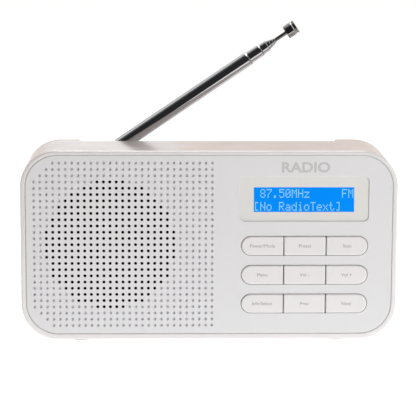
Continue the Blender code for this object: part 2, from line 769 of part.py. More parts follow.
def antenna_mount():
    """A round-topped fork on the channel's floor, and the screw that is the fold axis."""
    steel = finish("bracket_steel", (0.60, 0.60, 0.60), 0.3, 1.0)
    cheek = LUG_HALF + GAP
    front = PIVOT.y - cheek - CHEEK_THICK
    rear = PIVOT.y + cheek + CHEEK_THICK
    axis = ((PIVOT.x, PIVOT.z),)
    fork = block(
        "antenna_bracket",
        (PIVOT.x - FORK_HALF, front, CHANNEL_FLOOR + GAP), (PIVOT.x + FORK_HALF, rear, PIVOT.z), steel,
    )
    combine(fork, rods("fork_eyes", axis, front, rear, FORK_HALF, 24), "UNION")
    combine(fork, block(
        "fork_slot",
        (PIVOT.x - FORK_HALF - BEYOND, PIVOT.y - cheek, CHANNEL_FLOOR + GAP + FORK_FLOOR),
        (PIVOT.x + FORK_HALF + BEYOND, PIVOT.y + cheek, PIVOT.z + FORK_HALF + BEYOND),
    ))
    combine(fork, rods("fork_bore", axis, front - GAP, BACK, FORK_BORE, 16))
    seat = rear + GAP / 3
    turned(
        "antenna_pivot_screw",
        (
            (0, 0.0008), (0.0020, 0.0008), (0.0026, 0.0004), (0.0026, 0), (PIVOT_SCREW_RADIUS, 0),
            (PIVOT_SCREW_RADIUS, front - seat), (0, front - seat),
        ),
        steel, (PIVOT.x, seat, PIVOT.z), REAR, steps=16,
    )


def antenna():
    chrome = finish("chrome", (0.78, 0.78, 0.79), 0.08, 1.0)
    knuckle = rod(
        "antenna_knuckle", PIVOT - Vector(REAR) * LUG_HALF, PIVOT + Vector(REAR) * LUG_HALF, LUG_RADIUS,
        chrome, sides=24,
    )
    tube_start = LUG_RADIUS + LUG_CLEARANCE
    plug_radius = SECTION_RADII[0] - WALL_OF_TUBE - RUNNING_FIT
    combine(knuckle, rod("antenna_neck", PIVOT, along(tube_start + PLUG_OVERLAP), NECK_RADIUS), "UNION")
    combine(knuckle, rod("antenna_plug", along(tube_start), along(PLUG_END), plug_radius), "UNION")
    through = 2 * LUG_HALF
    combine(knuckle, rods(
        "lug_bore", ((PIVOT.x, PIVOT.z),), PIVOT.y - through, PIVOT.y + through, LUG_BORE, 16
    ))
    hinge_on([knuckle, section(0, tube_start, chrome)], "antenna_fold_axis", PIVOT)
    for number in range(1, len(SECTION_RADII)):
        start = SECTION_ENDS[number] - SECTION_LENGTH + SECTION_STEP * number
        hinge_on([section(number, start, chrome)], f"antenna_slide_axis_{number}", along(start))
    rod_start = ROD_END - SECTION_LENGTH + SECTION_STEP * len(SECTION_RADII)
    stem = rod("antenna_rod", along(rod_start), along(ROD_END + TIP_BORE), ROD_RADIUS, chrome, sides=12)
    hinge_on([stem, antenna_tip(chrome)], "antenna_slide_axis_6", along(rod_start))


def section(number, start, look):
    """One tube of the antenna, open at both ends, with the next tube running inside it."""
    outer = SECTION_RADII[number]
    inner = SECTION_RADII[number + 1] if number + 1 < len(SECTION_RADII) else ROD_RADIUS
    length = SECTION_ENDS[number] - start
    bore = outer - WALL_OF_TUBE if number == 0 else inner + RUNNING_FIT
    return turned(
        f"antenna_section_{number + 1}",
        ((outer, length), (outer, 0), (bore, 0), (bore, length)),
        look, along(start), DIRECTION, steps=16, ring=True,
    )


def antenna_tip(look):
    """The cap on the innermost rod, with a blind bore for the rod."""
    radius = TIP_RADIUS
    bore = ROD_RADIUS + TIP_FIT
    return turned(
        "antenna_tip",
        (
            (0, TIP_LENGTH), (radius * 0.6, TIP_LENGTH * 0.98), (radius * 0.9, TIP_LENGTH * 0.9),
            (radius, TIP_LENGTH * 0.75), (radius, TIP_LENGTH * 0.15), (radius * 0.85, 0),
            (bore, 0), (bore, TIP_BORE + TIP_FIT), (0, TIP_BORE + TIP_FIT),
        ),
        look, along(ROD_END), DIRECTION, steps=20,
    )


# ---------------------------------------------------------------- the whole radio

clear_scene()
RADIO = new_collection("tabletop_radio")
TOOLS = new_collection("cutters")
cabinet_shell()
feet()
battery_door()
battery_contacts()
rear_screws()
front_panel()
display_lens()
keys()
keypad()
display_module()
boards()
wires()
jacks()
loudspeaker()
antenna_mount()
antenna()
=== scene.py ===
"""The looks of the tabletop radio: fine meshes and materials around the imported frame."""
import json
import math

import bmesh
import bpy
from mathutils import Matrix, Vector


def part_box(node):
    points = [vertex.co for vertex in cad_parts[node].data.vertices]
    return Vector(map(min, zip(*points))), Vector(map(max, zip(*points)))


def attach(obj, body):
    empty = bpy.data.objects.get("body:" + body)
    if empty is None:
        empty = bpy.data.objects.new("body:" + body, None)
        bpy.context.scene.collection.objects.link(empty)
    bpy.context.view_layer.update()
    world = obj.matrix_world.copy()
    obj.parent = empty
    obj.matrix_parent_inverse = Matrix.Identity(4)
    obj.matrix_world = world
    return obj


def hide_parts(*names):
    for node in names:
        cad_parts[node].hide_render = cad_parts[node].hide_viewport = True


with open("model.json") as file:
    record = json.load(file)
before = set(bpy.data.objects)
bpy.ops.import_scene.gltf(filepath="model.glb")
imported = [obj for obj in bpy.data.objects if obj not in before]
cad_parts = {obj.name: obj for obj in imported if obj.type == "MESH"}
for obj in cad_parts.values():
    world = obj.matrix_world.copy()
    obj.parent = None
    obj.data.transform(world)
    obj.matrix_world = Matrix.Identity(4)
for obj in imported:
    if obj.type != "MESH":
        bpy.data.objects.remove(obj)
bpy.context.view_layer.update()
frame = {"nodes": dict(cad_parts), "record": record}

PANEL_LOW, PANEL_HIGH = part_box("front_panel")
SHELL_LOW, SHELL_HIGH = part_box("cabinet_shell")
LENS_LOW, LENS_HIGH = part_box("display_lens")
DOOR_LOW, DOOR_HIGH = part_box("battery_door")
LCD_LOW, LCD_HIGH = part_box("lcd_glass")
JOINTS = {joint["name"]: joint for joint in frame["record"]["behaviour"]["joints"]}
BODIES = frame["record"]["behaviour"]["bodies"]
FRONT = SHELL_LOW.y
BACK = SHELL_HIGH.y
REAR_SCREWS = [f"rear_screw_{number}" for number in range(1, 5)]
JACKS = ("dc_jack", "earphone_jack")
FEET = [name for name in BODIES["cabinet"] if name.startswith("foot_")]

# All lengths are in metres.

# Camera, as the front view is taken
CAMERA_AIM = Vector((-0.00057, FRONT, 0.05842))
CAMERA_AZIMUTH = math.radians(-1.374)
CAMERA_ELEVATION = math.radians(9.931)
CAMERA_ROLL = math.radians(0.203)
CAMERA_DISTANCE = 0.7854
CAMERA_LENS = 160.64

# Floor and light
FLOOR_COLOUR = (0.93, 0.93, 0.93)
FLOOR_GLOW = 0.59
WORLD_GLOW = 0.17
BEND_START = 1.5
BEND_RADIUS = 1.0
LIGHT_AIM = (0, 0, 0.05)

# The gap between parts that have play, and between parts that all but touch
GAP = 0.0003
HAIR = 0.00004
LEAST_RADIUS = 0.00002

# Cabinet
BODY_CORNER = 0.0156
CORNER_STEPS = 24
RIM_ROUND = 0.0009
BACK_FILLET = 0.004
WALL = 0.0021
PANEL_CORNER = 0.0133
PANEL_ROUND = 0.0002
PANEL_BACK = FRONT + 0.0025
GROOVE = 0.00035
GROOVE_DEPTH = 0.0004
ROOM_LIP = 0.00035
CHANNEL_X = (-0.0561, 0.0563)
CHANNEL_FRONT = 0.01095
CHANNEL_FLOOR = 0.0739
BAY_LOW = Vector((0.0010, 0.0030, 0.0094))
BAY_HIGH = Vector((0.0615, BACK, 0.0666))
BAY_WALL = 0.0016
WELL_START = 0.0038
WELL_OUTER = 0.0043
WELL_BORE = 0.0030
SCREW_HOLE = 0.0016
JACK_HOLE = 0.0042
VENTS = 6
VENT_PITCH = 0.0034
VENT_LONG = 0.015
VENT_TALL = 0.0008
VENT_ROUND = 0.00079

# Battery door, its finger notch and the ribs in it
DOOR_CORNER = 0.0017
RECESS_CORNER = 0.002
NOTCH_LONG = 0.007
NOTCH_DEPTH = 0.0008
NOTCH_DROPS = (0.0065, 0.0010)
NOTCH_ROUND = 0.0015
RIB_LONG = 0.005
RIB_TALL = 0.0003
RIB_DROP = 0.0052
RIB_PITCH = 0.0014
RIB_REACH = 0.00085

# Pattern of the front panel
PITCH = 0.002695
SPEAKER_X = -0.0419
SPEAKER_Z = 0.0425
MIDDLE = 10.05
COLUMNS = range(-2, 27)
ROWS = range(-3, 24)
CUT_ROWS = 3
OPEN_RADIUS_SQUARED = 107
ROUND_SIDES = 16
HOLE_RADIUS = 0.00064
HOLE_LIP = 0.00003
HOLE_FLARE = 1.85
DIMPLE_RADIUS = 0.00068
DIMPLE_DEPTH = 0.00065
# Every ring of a dimple: its share of the radius, its share of the depth, and its shift in radii
DIMPLE_RINGS = (
    (1.05, 0.0, 0.0), (1.0, 0.08, 0.0), (0.86, 0.45, 0.13), (0.66, 0.85, 0.32), (0.42, 1.0, 0.50),
)
# From this ring inward the dimple takes a darker colour: painted shade in its hollow
PAINTED_SHADE_FROM = 3

# Keys and display
KEY_ROUND = 0.0006
KEY_CORNER = 0.0005
KEY_FLANGE = 0.0007
KEY_FOOT = 0.0011
KEY_GAP = 0.0002
SLOT_ROUND = 0.00018
LABEL_SIZE = 0.00205
PRINT_THICK = 0.000004
STRAIGHT = 0.00003
LENS_X = (0.01295, 0.0677)
LENS_Z = (0.0526, 0.0719)
LENS_CORNER = 0.0022
LENS_ROUND = 0.00008
POCKET_ROUND = 0.0002
PLATE_REACH = 0.00029
WINDOW_X = (0.0188, 0.0614)
WINDOW_Z = (0.0566, 0.0672)
WINDOW_CORNER = 0.0002
LCD_CORNER = 0.0004
LCD_FACE = LENS_LOW.y + 0.00014
LINE_LENGTH = 16
LINE_DROPS = (0.00075, 0.0063)
DOT_TALL = 0.00054
DOT_SHARE = 0.8

# Antenna
TUBES = 6
TUBE_PLAY = 0.00005
TUBE_EDGE = 0.0001
ROLL_LONG = 0.0007
ROLL_SHORT = 0.00042
# Faces slanted more than this towards the axis take the darker ring chrome: painted shade
RING_SLANT = 0.3
CAP_GROOVE = 0.00035

# Small parts
SCREW_HEAD = 0.0016
SCREW_SHANK = 0.0012
CROSS_LONG = 0.0015
CROSS_THIN = 0.00028
JACK_RADIUS = 0.0039
JACK_BORE = 0.0030
PIN_RADIUS = 0.0010
PLUG_RADIUS = 0.0020
BUSH_BORE = 0.0018
CONTACTS = {
    "battery_contact_1": ((0, 1), False),
    "battery_contact_2": ((2, 3), False),
    "battery_contact_3": ((0,), True),
    "battery_contact_4": ((1, 2), True),
    "battery_contact_5": ((3,), True),
}
CELL_PITCH = 0.0150
STRIP_THICK = 0.0004
SPRING_HEIGHT = 0.0036
COIL_TURNS = 3.25
COIL_WIRE = 0.0003
COIL_WIDE = 0.0033
COIL_NARROW = 0.0019
BUTTON_PROFILE = ((0, 0.0026), (0.0005, 0.0024), (0.0008, 0.0020), (0.0008, 0))
CHEEK_THICK = 0.0011
FORK_FLOOR = 0.0005
LUG_RADIUS = 0.0030
LUG_HALF = 0.0022
LUG_BORE = 0.00135
NECK_RADIUS = 0.0020
PLUG_END = 0.0075


# ---- mesh helpers

def four(radii):
    return radii if isinstance(radii, (tuple, list)) else (radii,) * 4


def sides(low, high, by=0.0):
    """The x and z spans of a box, widened by a distance."""
    return (low.x - by, high.x + by), (low.z - by, high.z + by)


def around(x, z, wide, tall):
    """The x and z spans of an oblong about a point, from half of its sizes."""
    return (x - wide, x + wide), (z - tall, z + tall)


def outline(x, z, radii, count=8):
    """A rounded rectangle as (x, z) points. Its radii run from the upper right round to the lower right."""
    spots = ((x[1], z[1], -1, -1), (x[0], z[1], 1, -1), (x[0], z[0], 1, 1), (x[1], z[0], -1, 1))
    points = []
    for quarter, ((cx, cz, sx, sz), radius) in enumerate(zip(spots, four(radii))):
        radius = max(radius, LEAST_RADIUS)
        for step in range(count + 1):
            angle = math.radians(90 * (quarter + step / count))
            points.append((
                cx + sx * radius + radius * math.cos(angle), cz + sz * radius + radius * math.sin(angle)
            ))
    return points


def grown(x, z, radii, by, count=8):
    """The same outline moved outward by a distance, or inward where it is negative."""
    radii = [radius + by for radius in four(radii)]
    return outline((x[0] - by, x[1] + by), (z[0] - by, z[1] + by), radii, count)


def loop(bm, points, y):
    return [bm.verts.new((x, y, z)) for x, z in points]


def bridge(bm, first, second, material=0):
    count = len(first)
    for i in range(count):
        j = (i + 1) % count
        face = bm.faces.new((first[i], first[j], second[j], second[i]))
        face.material_index = material


def bridge_all(bm, loops, material=0):
    for first, second in zip(loops, loops[1:]):
        bridge(bm, first, second, material)


def close(bm, *ends):
    for end in ends:
        bm.faces.new(end)


def fill(bm, loops):
    """A flat face between one outer loop and any number of holes in it.

    The fill has a fixed tolerance that suits larger things, so it is made in millimetres.
    """
    edges = [
        bm.edges.get(pair) or bm.edges.new(pair) for ring in loops for pair in zip(ring, ring[1:] + ring[:1])
    ]
    bmesh.ops.scale(bm, vec=(1000, 1000, 1000), verts=bm.verts)
    bmesh.ops.triangle_fill(bm, use_beauty=True, edges=edges)
    bmesh.ops.scale(bm, vec=(0.001, 0.001, 0.001), verts=bm.verts)


def rounding(bm, x, z, radii, y, radius, outward=1, direction=1, steps=4, count=8):
    """Loops round an edge from the flat face at y down into the piece.

    Outward is 1 for the outer edge of a solid and -1 for the edge of an opening in it.
    Direction is 1 where the piece lies behind the face and -1 where it lies before it.
    """
    loops = []
    for step in range(steps + 1):
        angle = math.radians(90 * step / steps)
        inset = radius * (1 - math.sin(angle)) * outward
        depth = radius * (1 - math.cos(angle)) * direction
        loops.append(loop(bm, grown(x, z, radii, -inset, count), y + depth))
    bridge_all(bm, loops)
    return loops


def lathe(bm, profile, start, direction, steps=32, closed=False):
    """A profile of (distance along, radius) points turned about an axis."""
    turn = Vector(direction).to_track_quat("Z", "Y").to_matrix()
    rings = []
    for along, radius in profile:
        rings.append([
            bm.verts.new(Vector(start) + turn @ Vector((
                radius * math.cos(math.tau * i / steps), radius * math.sin(math.tau * i / steps), along
            )))
            for i in range(steps if radius else 1)
        ])
    pairs = list(zip(rings, rings[1:]))
    if closed:
        pairs.append((rings[-1], rings[0]))
    for a, b in pairs:
        for i in range(steps):
            j = (i + 1) % steps
            if len(a) == 1:
                bm.faces.new((a[0], b[i], b[j]))
            elif len(b) == 1:
                bm.faces.new((a[i], a[j], b[0]))
            else:
                bm.faces.new((a[i], a[j], b[j], b[i]))


def placed(name, data):
    """A new object in the scene for a mesh, a curve, a light or a camera."""
    item = bpy.data.objects.new(name, data)
    bpy.context.scene.collection.objects.link(item)
    return item


def mesh_from(name, bm):
    mesh = bpy.data.meshes.new(name)
    bm.to_mesh(mesh)
    bm.free()
    return mesh


def piece(name, bm, looks, body, nodes=(), sharp=35, weighted=True):
    """A finished mesh piece that rides on a body and stands for the CAD nodes named."""
    bmesh.ops.recalc_face_normals(bm, faces=bm.faces)
    settle(name, mesh_from(name, bm), looks, body, nodes, sharp, weighted)


def settle(name, mesh, looks, body, nodes=(), sharp=35, weighted=True):
    """The same for a mesh that is made already."""
    mesh.shade_smooth()
    mesh.set_sharp_from_angle(angle=math.radians(sharp))
    for look in looks if isinstance(looks, tuple) else (looks,):
        mesh.materials.append(look)
    item = placed(name, mesh)
    if weighted:
        normals = item.modifiers.new("Flat faces stay flat", "WEIGHTED_NORMAL")
        normals.keep_sharp = True
    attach(item, body)
    if nodes:
        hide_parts(*nodes)


def solid(name, bm):
    """A plain closed object to build with, not a piece."""
    bmesh.ops.recalc_face_normals(bm, faces=bm.faces)
    return placed(name, mesh_from(name, bm))


def carved(base, *cutters):
    """The mesh left when the cutters are taken out of the base. All of them are then removed."""
    for cutter in cutters:
        modifier = base.modifiers.new(cutter.name, "BOOLEAN")
        modifier.object = cutter
    bpy.context.view_layer.update()
    result = bpy.data.meshes.new_from_object(base.evaluated_get(bpy.context.evaluated_depsgraph_get()))
    for item in (base, *cutters):
        bpy.data.objects.remove(item, do_unlink=True)
    return result


def box_solid(name, spans, y, radius=0.0):
    """A block with these x and z spans; its edges along Y are rounded where a radius is given."""
    bm = bmesh.new()
    points = outline(*spans, radius, 6 if radius else 1)
    loops = [loop(bm, points, y[0]), loop(bm, points, y[1])]
    bridge(bm, *loops)
    close(bm, loops[0], loops[1])
    bmesh.ops.remove_doubles(bm, verts=bm.verts, dist=0.000001)
    return solid(name, bm)


def block(bm, middle, size):
    bmesh.ops.create_cube(bm, size=1.0, matrix=Matrix.Translation(middle) @ Matrix.Diagonal((*size, 1)))


def bars_solid(name, spots, y, radius, sides=32):
    """Equal round bars along Y at several (x, z) spots, as one cutter."""
    bm = bmesh.new()
    length = y[1] - y[0]
    for x, z in spots:
        lathe(bm, ((0, 0), (0, radius), (length, radius), (length, 0)), (x, y[0], z), (0, 1, 0), sides)
    return solid(name, bm)


def middles(names):
    """The (x, z) middle of every node's box."""
    return [((low.x + high.x) / 2, (low.z + high.z) / 2) for low, high in map(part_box, names)]


# ---- material helpers

def shader(name, colour, roughness, metallic=0.0, **sockets):
    """A Principled material, and its node tree and shader."""
    look = bpy.data.materials.new(name)
    look.use_nodes = True
    tree = look.node_tree
    principled = tree.nodes["Principled BSDF"]
    principled.inputs["Base Color"].default_value = (*colour, 1)
    principled.inputs["Roughness"].default_value = roughness
    principled.inputs["Metallic"].default_value = metallic
    for socket, value in sockets.items():
        principled.inputs[socket.replace("_", " ")].default_value = value
    return look, tree, principled


def noise(tree, scale, detail, stretch=None):
    """Noise over the object's own coordinates, in metres."""
    place = tree.nodes.new("ShaderNodeTexCoord")
    texture = tree.nodes.new("ShaderNodeTexNoise")
    texture.inputs["Scale"].default_value = scale
    texture.inputs["Detail"].default_value = detail
    source = place.outputs["Object"]
    if stretch:
        mapping = tree.nodes.new("ShaderNodeMapping")
        mapping.inputs["Scale"].default_value = stretch
        tree.links.new(source, mapping.inputs["Vector"])
        source = mapping.outputs["Vector"]
    tree.links.new(source, texture.inputs["Vector"])
    return texture.outputs["Fac"]


def mix(tree, low, high, fac, socket):
    """Two colours, mixed by the noise, for a socket of the shader."""
    node = tree.nodes.new("ShaderNodeMix")
    node.data_type = "RGBA"
    node.inputs["A"].default_value = (*low, 1)
    node.inputs["B"].default_value = (*high, 1)
    tree.links.new(fac, node.inputs["Factor"])
    tree.links.new(node.outputs["Result"], socket)


def vary_colour(tree, principled, colour, amount, fac):
    """The colour drifts a little lighter and darker over the surface."""
    low = [c * (1 - amount) for c in colour]
    high = [min(c * (1 + amount), 1) for c in colour]
    mix(tree, low, high, fac, principled.inputs["Base Color"])


def vary_roughness(tree, principled, low, high, fac):
    spread = tree.nodes.new("ShaderNodeMapRange")
    spread.inputs["From Min"].default_value = 0.3
    spread.inputs["From Max"].default_value = 0.7
    spread.inputs["To Min"].default_value = low
    spread.inputs["To Max"].default_value = high
    tree.links.new(fac, spread.inputs["Value"])
    tree.links.new(spread.outputs["Result"], principled.inputs["Roughness"])


def bump(tree, principled, fac, strength, depth):
    relief = tree.nodes.new("ShaderNodeBump")
    relief.inputs["Strength"].default_value = strength
    relief.inputs["Distance"].default_value = depth
    tree.links.new(fac, relief.inputs["Height"])
    tree.links.new(relief.outputs["Normal"], principled.inputs["Normal"])


def plastic(name, colour, roughness, grain, strength, **sockets):
    """Moulded plastic: a fine grain, patches of slightly different gloss, and a faint drift of colour."""
    look, tree, principled = shader(name, colour, roughness, **sockets)
    vary_colour(tree, principled, colour, 0.012, noise(tree, 22, 3))
    vary_roughness(tree, principled, roughness - 0.04, roughness + 0.04, noise(tree, 70, 3))
    bump(tree, principled, noise(tree, grain, 2), strength, 0.00002)
    return look


def metal(name, colour, roughness, grain, strength, stretch=None, edge=1.0):
    """Bare metal; an edge below 1 darkens it where it is seen at a slant."""
    look, tree, principled = shader(name, colour, roughness, 1.0)
    principled.inputs["Specular Tint"].default_value = (edge, edge, edge, 1)
    vary_colour(tree, principled, colour, 0.03, noise(tree, 120, 2))
    vary_roughness(tree, principled, roughness * 0.8, roughness * 1.25, noise(tree, 260, 3))
    bump(tree, principled, noise(tree, grain, 3, stretch), strength, 0.00001)
    return look


def glow(name, low, high, scale):
    """A lit surface whose brightness drifts between two colours."""
    look, tree, principled = shader(name, (0.0, 0.0, 0.0), 0.25, Specular_IOR_Level=0.1)
    mix(tree, low, high, noise(tree, scale, 1), principled.inputs["Emission Color"])
    principled.inputs["Emission Strength"].default_value = 1.0
    return look


SHELL_LOOK = plastic("shell_white", (0.74, 0.73, 0.73), 0.20, 700, 0.03, Coat_Weight=0.25, Coat_Roughness=0.08)
DOOR_LOOK = plastic("door_white", (0.74, 0.73, 0.73), 0.22, 700, 0.04, Coat_Weight=0.2, Coat_Roughness=0.1)
PANEL_LOOK = plastic("panel_white", (0.695, 0.70, 0.712), 0.42, 2600, 0.10)
# A darker bluish white for the dimples' deeper rings and floors: painted shade in the hollows
DIMPLE_PAINTED_SHADE_LOOK = plastic("dimple_painted_shade", (0.54, 0.545, 0.58), 0.5, 2600, 0.10)
KEY_LOOK = plastic("key_white", (0.735, 0.725, 0.73), 0.38, 2600, 0.06)
LENS_LOOK = plastic("lens_white", (0.73, 0.73, 0.705), 0.16, 900, 0.02, Coat_Weight=0.5, Coat_Roughness=0.05)
# Near-black for the walls of the through holes in the white panel: painted shade inside the holes
HOLE_WALL_PAINTED_SHADE_LOOK = plastic("hole_wall_painted_shade", (0.012, 0.012, 0.012), 0.7, 2600, 0.05)
RUBBER_LOOK = plastic("foot_rubber", (0.60, 0.60, 0.59), 0.75, 1800, 0.4)
MAT_LOOK = plastic("keypad_rubber", (0.12, 0.12, 0.125), 0.7, 1800, 0.3)
BLACK_LOOK = plastic("jack_black", (0.012, 0.012, 0.013), 0.4, 2200, 0.15)
BOARD_LOOK = plastic("circuit_board", (0.01, 0.10, 0.03), 0.35, 900, 0.2)
GUIDE_LOOK = plastic("backlight_guide", (0.80, 0.84, 0.88), 0.34, 900, 0.05)
RIBBON_LOOK = plastic("ribbon_cable", (0.36, 0.37, 0.40), 0.5, 1500, 0.2)
RED_LOOK = plastic("lead_red", (0.42, 0.02, 0.02), 0.42, 1500, 0.1)
GREY_LOOK = plastic("lead_grey", (0.09, 0.09, 0.095), 0.45, 1500, 0.1)
FERRITE_LOOK = plastic("ferrite", (0.025, 0.025, 0.026), 0.55, 1200, 0.6)
FOAM_LOOK = plastic("foam", (0.02, 0.02, 0.02), 0.9, 1500, 0.8)
PAPER_LOOK = plastic("speaker_paper", (0.02, 0.02, 0.021), 0.85, 1100, 0.7)
CLOTH_LOOK = plastic("grille_cloth", (0.004, 0.004, 0.004), 0.95, 3000, 0.9)
PRINT_LOOK = plastic("grey_print", (0.26, 0.265, 0.27), 0.5, 2600, 0.02)
MARK_LOOK = plastic("mark_print", (0.50, 0.51, 0.51), 0.45, 2600, 0.02)
CHROME_LOOK = metal("antenna_chrome", (0.55, 0.55, 0.56), 0.06, 900, 0.04, edge=0.45)
ROD_LOOK = metal("rod_chrome", (0.32, 0.31, 0.30), 0.10, 900, 0.04, edge=0.3)
# A darker copy of the antenna chrome for the slanted ring faces: painted shade that dims their reflections
RING_PAINTED_SHADE_LOOK = metal("ring_chrome_painted_shade", (0.22, 0.22, 0.22), 0.10, 900, 0.04, edge=0.3)
STEEL_LOOK = metal("screw_steel", (0.52, 0.52, 0.53), 0.35, 2000, 0.2)
BRACKET_LOOK = metal("bracket_steel", (0.55, 0.55, 0.55), 0.20, 2500, 0.25, (1, 1, 8))
NICKEL_LOOK = metal("nickel", (0.66, 0.62, 0.55), 0.21, 2500, 0.15)
CAN_LOOK = metal("tinned_can", (0.60, 0.60, 0.58), 0.36, 1800, 0.2)
FRAME_LOOK = metal("speaker_steel", (0.20, 0.20, 0.21), 0.4, 1800, 0.3)
BLUE_LOOK = glow("lcd_blue", (0.0, 0.245, 0.93), (0.0, 0.285, 1.0), 30)
DOT_LOOK = glow("lcd_dots", (0.28, 0.66, 0.93), (0.34, 0.74, 0.98), 300)


# ---- front panel

def is_open(row, column):
    return (column - MIDDLE) ** 2 + (row - MIDDLE) ** 2 <= OPEN_RADIUS_SQUARED


def pattern_cells():
    """Every (row, column) of the pattern; the corners by the cabinet's own corner are left out."""
    for row in ROWS:
        cut = max(0, -row, row - (ROWS[-1] - CUT_ROWS))
        for column in COLUMNS[cut:]:
            yield row, column


class Pattern:
    """The square cells of the pattern, with shared corners, and a hole or a dimple in each."""

    def __init__(self, bm):
        self.bm = bm
        self.shared = {}

    def corner(self, u, v, y):
        """A shared point, in quarters of the pitch from the first cell's edge."""
        key = (u, v, y)
        if key not in self.shared:
            x = SPEAKER_X + (u / 4 - 0.5 - MIDDLE) * PITCH
            z = SPEAKER_Z - (v / 4 - 0.5 - MIDDLE) * PITCH
            self.shared[key] = self.bm.verts.new((x, y, z))
        return self.shared[key]

    def square(self, row, column, y):
        """The sixteen points round a cell, counted from its right-hand middle upward."""
        u, v = 4 * column + 2, 4 * row + 2
        steps = [(2, 0), (2, 1), (2, 2), (1, 2), (0, 2), (-1, 2), (-2, 2), (-2, 1)]
        steps += [(-a, -b) for a, b in steps]
        return [self.corner(u + a, v - b, y) for a, b in steps]

    def circle(self, row, column, y, radius, shift=0.0):
        x = SPEAKER_X + (column - MIDDLE) * PITCH + shift
        z = SPEAKER_Z - (row - MIDDLE) * PITCH
        turns = [math.tau * i / ROUND_SIDES for i in range(ROUND_SIDES)]
        return [
            self.bm.verts.new((x + radius * math.cos(turn), y, z + radius * math.sin(turn))) for turn in turns
        ]

    def hole(self, row, column):
        """A through hole with a softened lip, wider at the back so that its wall stays out of sight; the wall
        carries near-black painted shade.
        """
        front = [self.square(row, column, FRONT)]
        front.append(self.circle(row, column, FRONT, HOLE_RADIUS + HOLE_LIP))
        front.append(self.circle(row, column, FRONT + HAIR, HOLE_RADIUS))
        bridge_all(self.bm, front)
        back = [front[-1], self.circle(row, column, PANEL_BACK, HOLE_RADIUS * HOLE_FLARE)]
        # The wall behind the lip takes the near-black look: painted shade
        bridge_all(self.bm, back, 1)
        bridge_all(self.bm, [back[-1], self.square(row, column, PANEL_BACK)])

    def dimple(self, row, column):
        """A shallow round dimple, steep on its right and sloping on its left, with its cell's plain back; its
        deeper rings and floor carry painted shade.
        """
        rings = [self.square(row, column, FRONT)]
        for size, depth, shift in DIMPLE_RINGS:
            y, radius = FRONT + DIMPLE_DEPTH * depth, DIMPLE_RADIUS * size
            rings.append(self.circle(row, column, y, radius, DIMPLE_RADIUS * shift))
        bridge_all(self.bm, rings[:PAINTED_SHADE_FROM + 1])
        # The deeper rings and the floor take the darker look: painted shade
        bridge_all(self.bm, rings[PAINTED_SHADE_FROM:], 2)
        self.bm.faces.new(rings[-1]).material_index = 2
        self.bm.faces.new(self.square(row, column, PANEL_BACK))

    def levels(self):
        """The front and back planes as the mesh holds them, in single precision."""
        return sorted({point.co.y for point in self.shared.values()})

    def border(self, y):
        """The stepped outline of the whole pattern, as one loop."""
        edges = [e for e in self.bm.edges if len(e.link_faces) == 1 and all(v.co.y == y for v in e.verts)]
        follow = {}
        for e in edges:
            for a, b in (e.verts, reversed(e.verts)):
                follow.setdefault(a, []).append(b)
        start = edges[0].verts[0]
        ring = [start, follow[start][0]]
        while True:
            step = [v for v in follow[ring[-1]] if v is not ring[-2]][0]
            if step is start:
                return ring
            ring.append(step)


def key_rows():
    """The pill outline of each row of keys, from the outer keys' own boxes."""
    for names in (("power", "scan"), ("menu", "volume_up"), ("select", "next")):
        low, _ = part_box(f"button_{names[0]}")
        _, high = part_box(f"button_{names[1]}")
        yield low, high


def front_panel():
    bm = bmesh.new()
    pattern = Pattern(bm)
    for row, column in pattern_cells():
        if is_open(row, column):
            pattern.hole(row, column)
        else:
            pattern.dimple(row, column)
    borders = [pattern.border(y) for y in pattern.levels()]

    x, z = sides(PANEL_LOW, PANEL_HIGH)
    edge = rounding(bm, x, z, PANEL_CORNER, FRONT, PANEL_ROUND, count=CORNER_STEPS)
    bottom = FRONT + GROOVE_DEPTH
    for by, y in ((0.0, bottom), (GROOVE - HAIR, bottom + 0.0001), (GROOVE - HAIR, PANEL_BACK)):
        edge.append(loop(bm, grown(x, z, PANEL_CORNER, by, CORNER_STEPS), y))
        bridge(bm, edge[-2], edge[-1])
    fronts, backs = [edge[0], borders[0]], [edge[-1], borders[1]]

    pocket = rounding(bm, LENS_X, LENS_Z, LENS_CORNER, FRONT, POCKET_ROUND, outward=-1)
    ledge_y = LENS_HIGH.y + GAP
    pocket.append(loop(bm, outline(LENS_X, LENS_Z, LENS_CORNER), ledge_y))
    bridge(bm, pocket[-2], pocket[-1])
    window_x = (LCD_LOW.x + GAP, LCD_HIGH.x - GAP)
    window_z = (LCD_LOW.z + 0.0001, LCD_HIGH.z - 0.0001)
    window = [loop(bm, outline(window_x, window_z, LCD_CORNER), y) for y in (ledge_y, PANEL_BACK)]
    bridge(bm, *window)
    fill(bm, [pocket[-1], window[0]])
    fronts.append(pocket[0])
    backs.append(window[1])

    for low, high in key_rows():
        half = (high.z - low.z) / 2 - KEY_FLANGE + KEY_GAP
        middle = (high.z + low.z) / 2
        row_x = (low.x + KEY_FLANGE - KEY_GAP, high.x - KEY_FLANGE + KEY_GAP)
        row_z = (middle - half, middle + half)
        slot = rounding(bm, row_x, row_z, half - STRAIGHT, FRONT, SLOT_ROUND, outward=-1, count=12)
        slot.append(loop(bm, outline(row_x, row_z, half - STRAIGHT, 12), PANEL_BACK))
        bridge(bm, slot[-2], slot[-1])
        fronts.append(slot[0])
        backs.append(slot[-1])
    fill(bm, fronts)
    fill(bm, backs)
    # The second look, near-black for the hole walls, and the third, darker for the dimple hollows, are both
    # painted shade
    looks = (PANEL_LOOK, HOLE_WALL_PAINTED_SHADE_LOOK, DIMPLE_PAINTED_SHADE_LOOK)
    piece("front_panel_fine", bm, looks, "cabinet", ("front_panel",))


# ---- cabinet

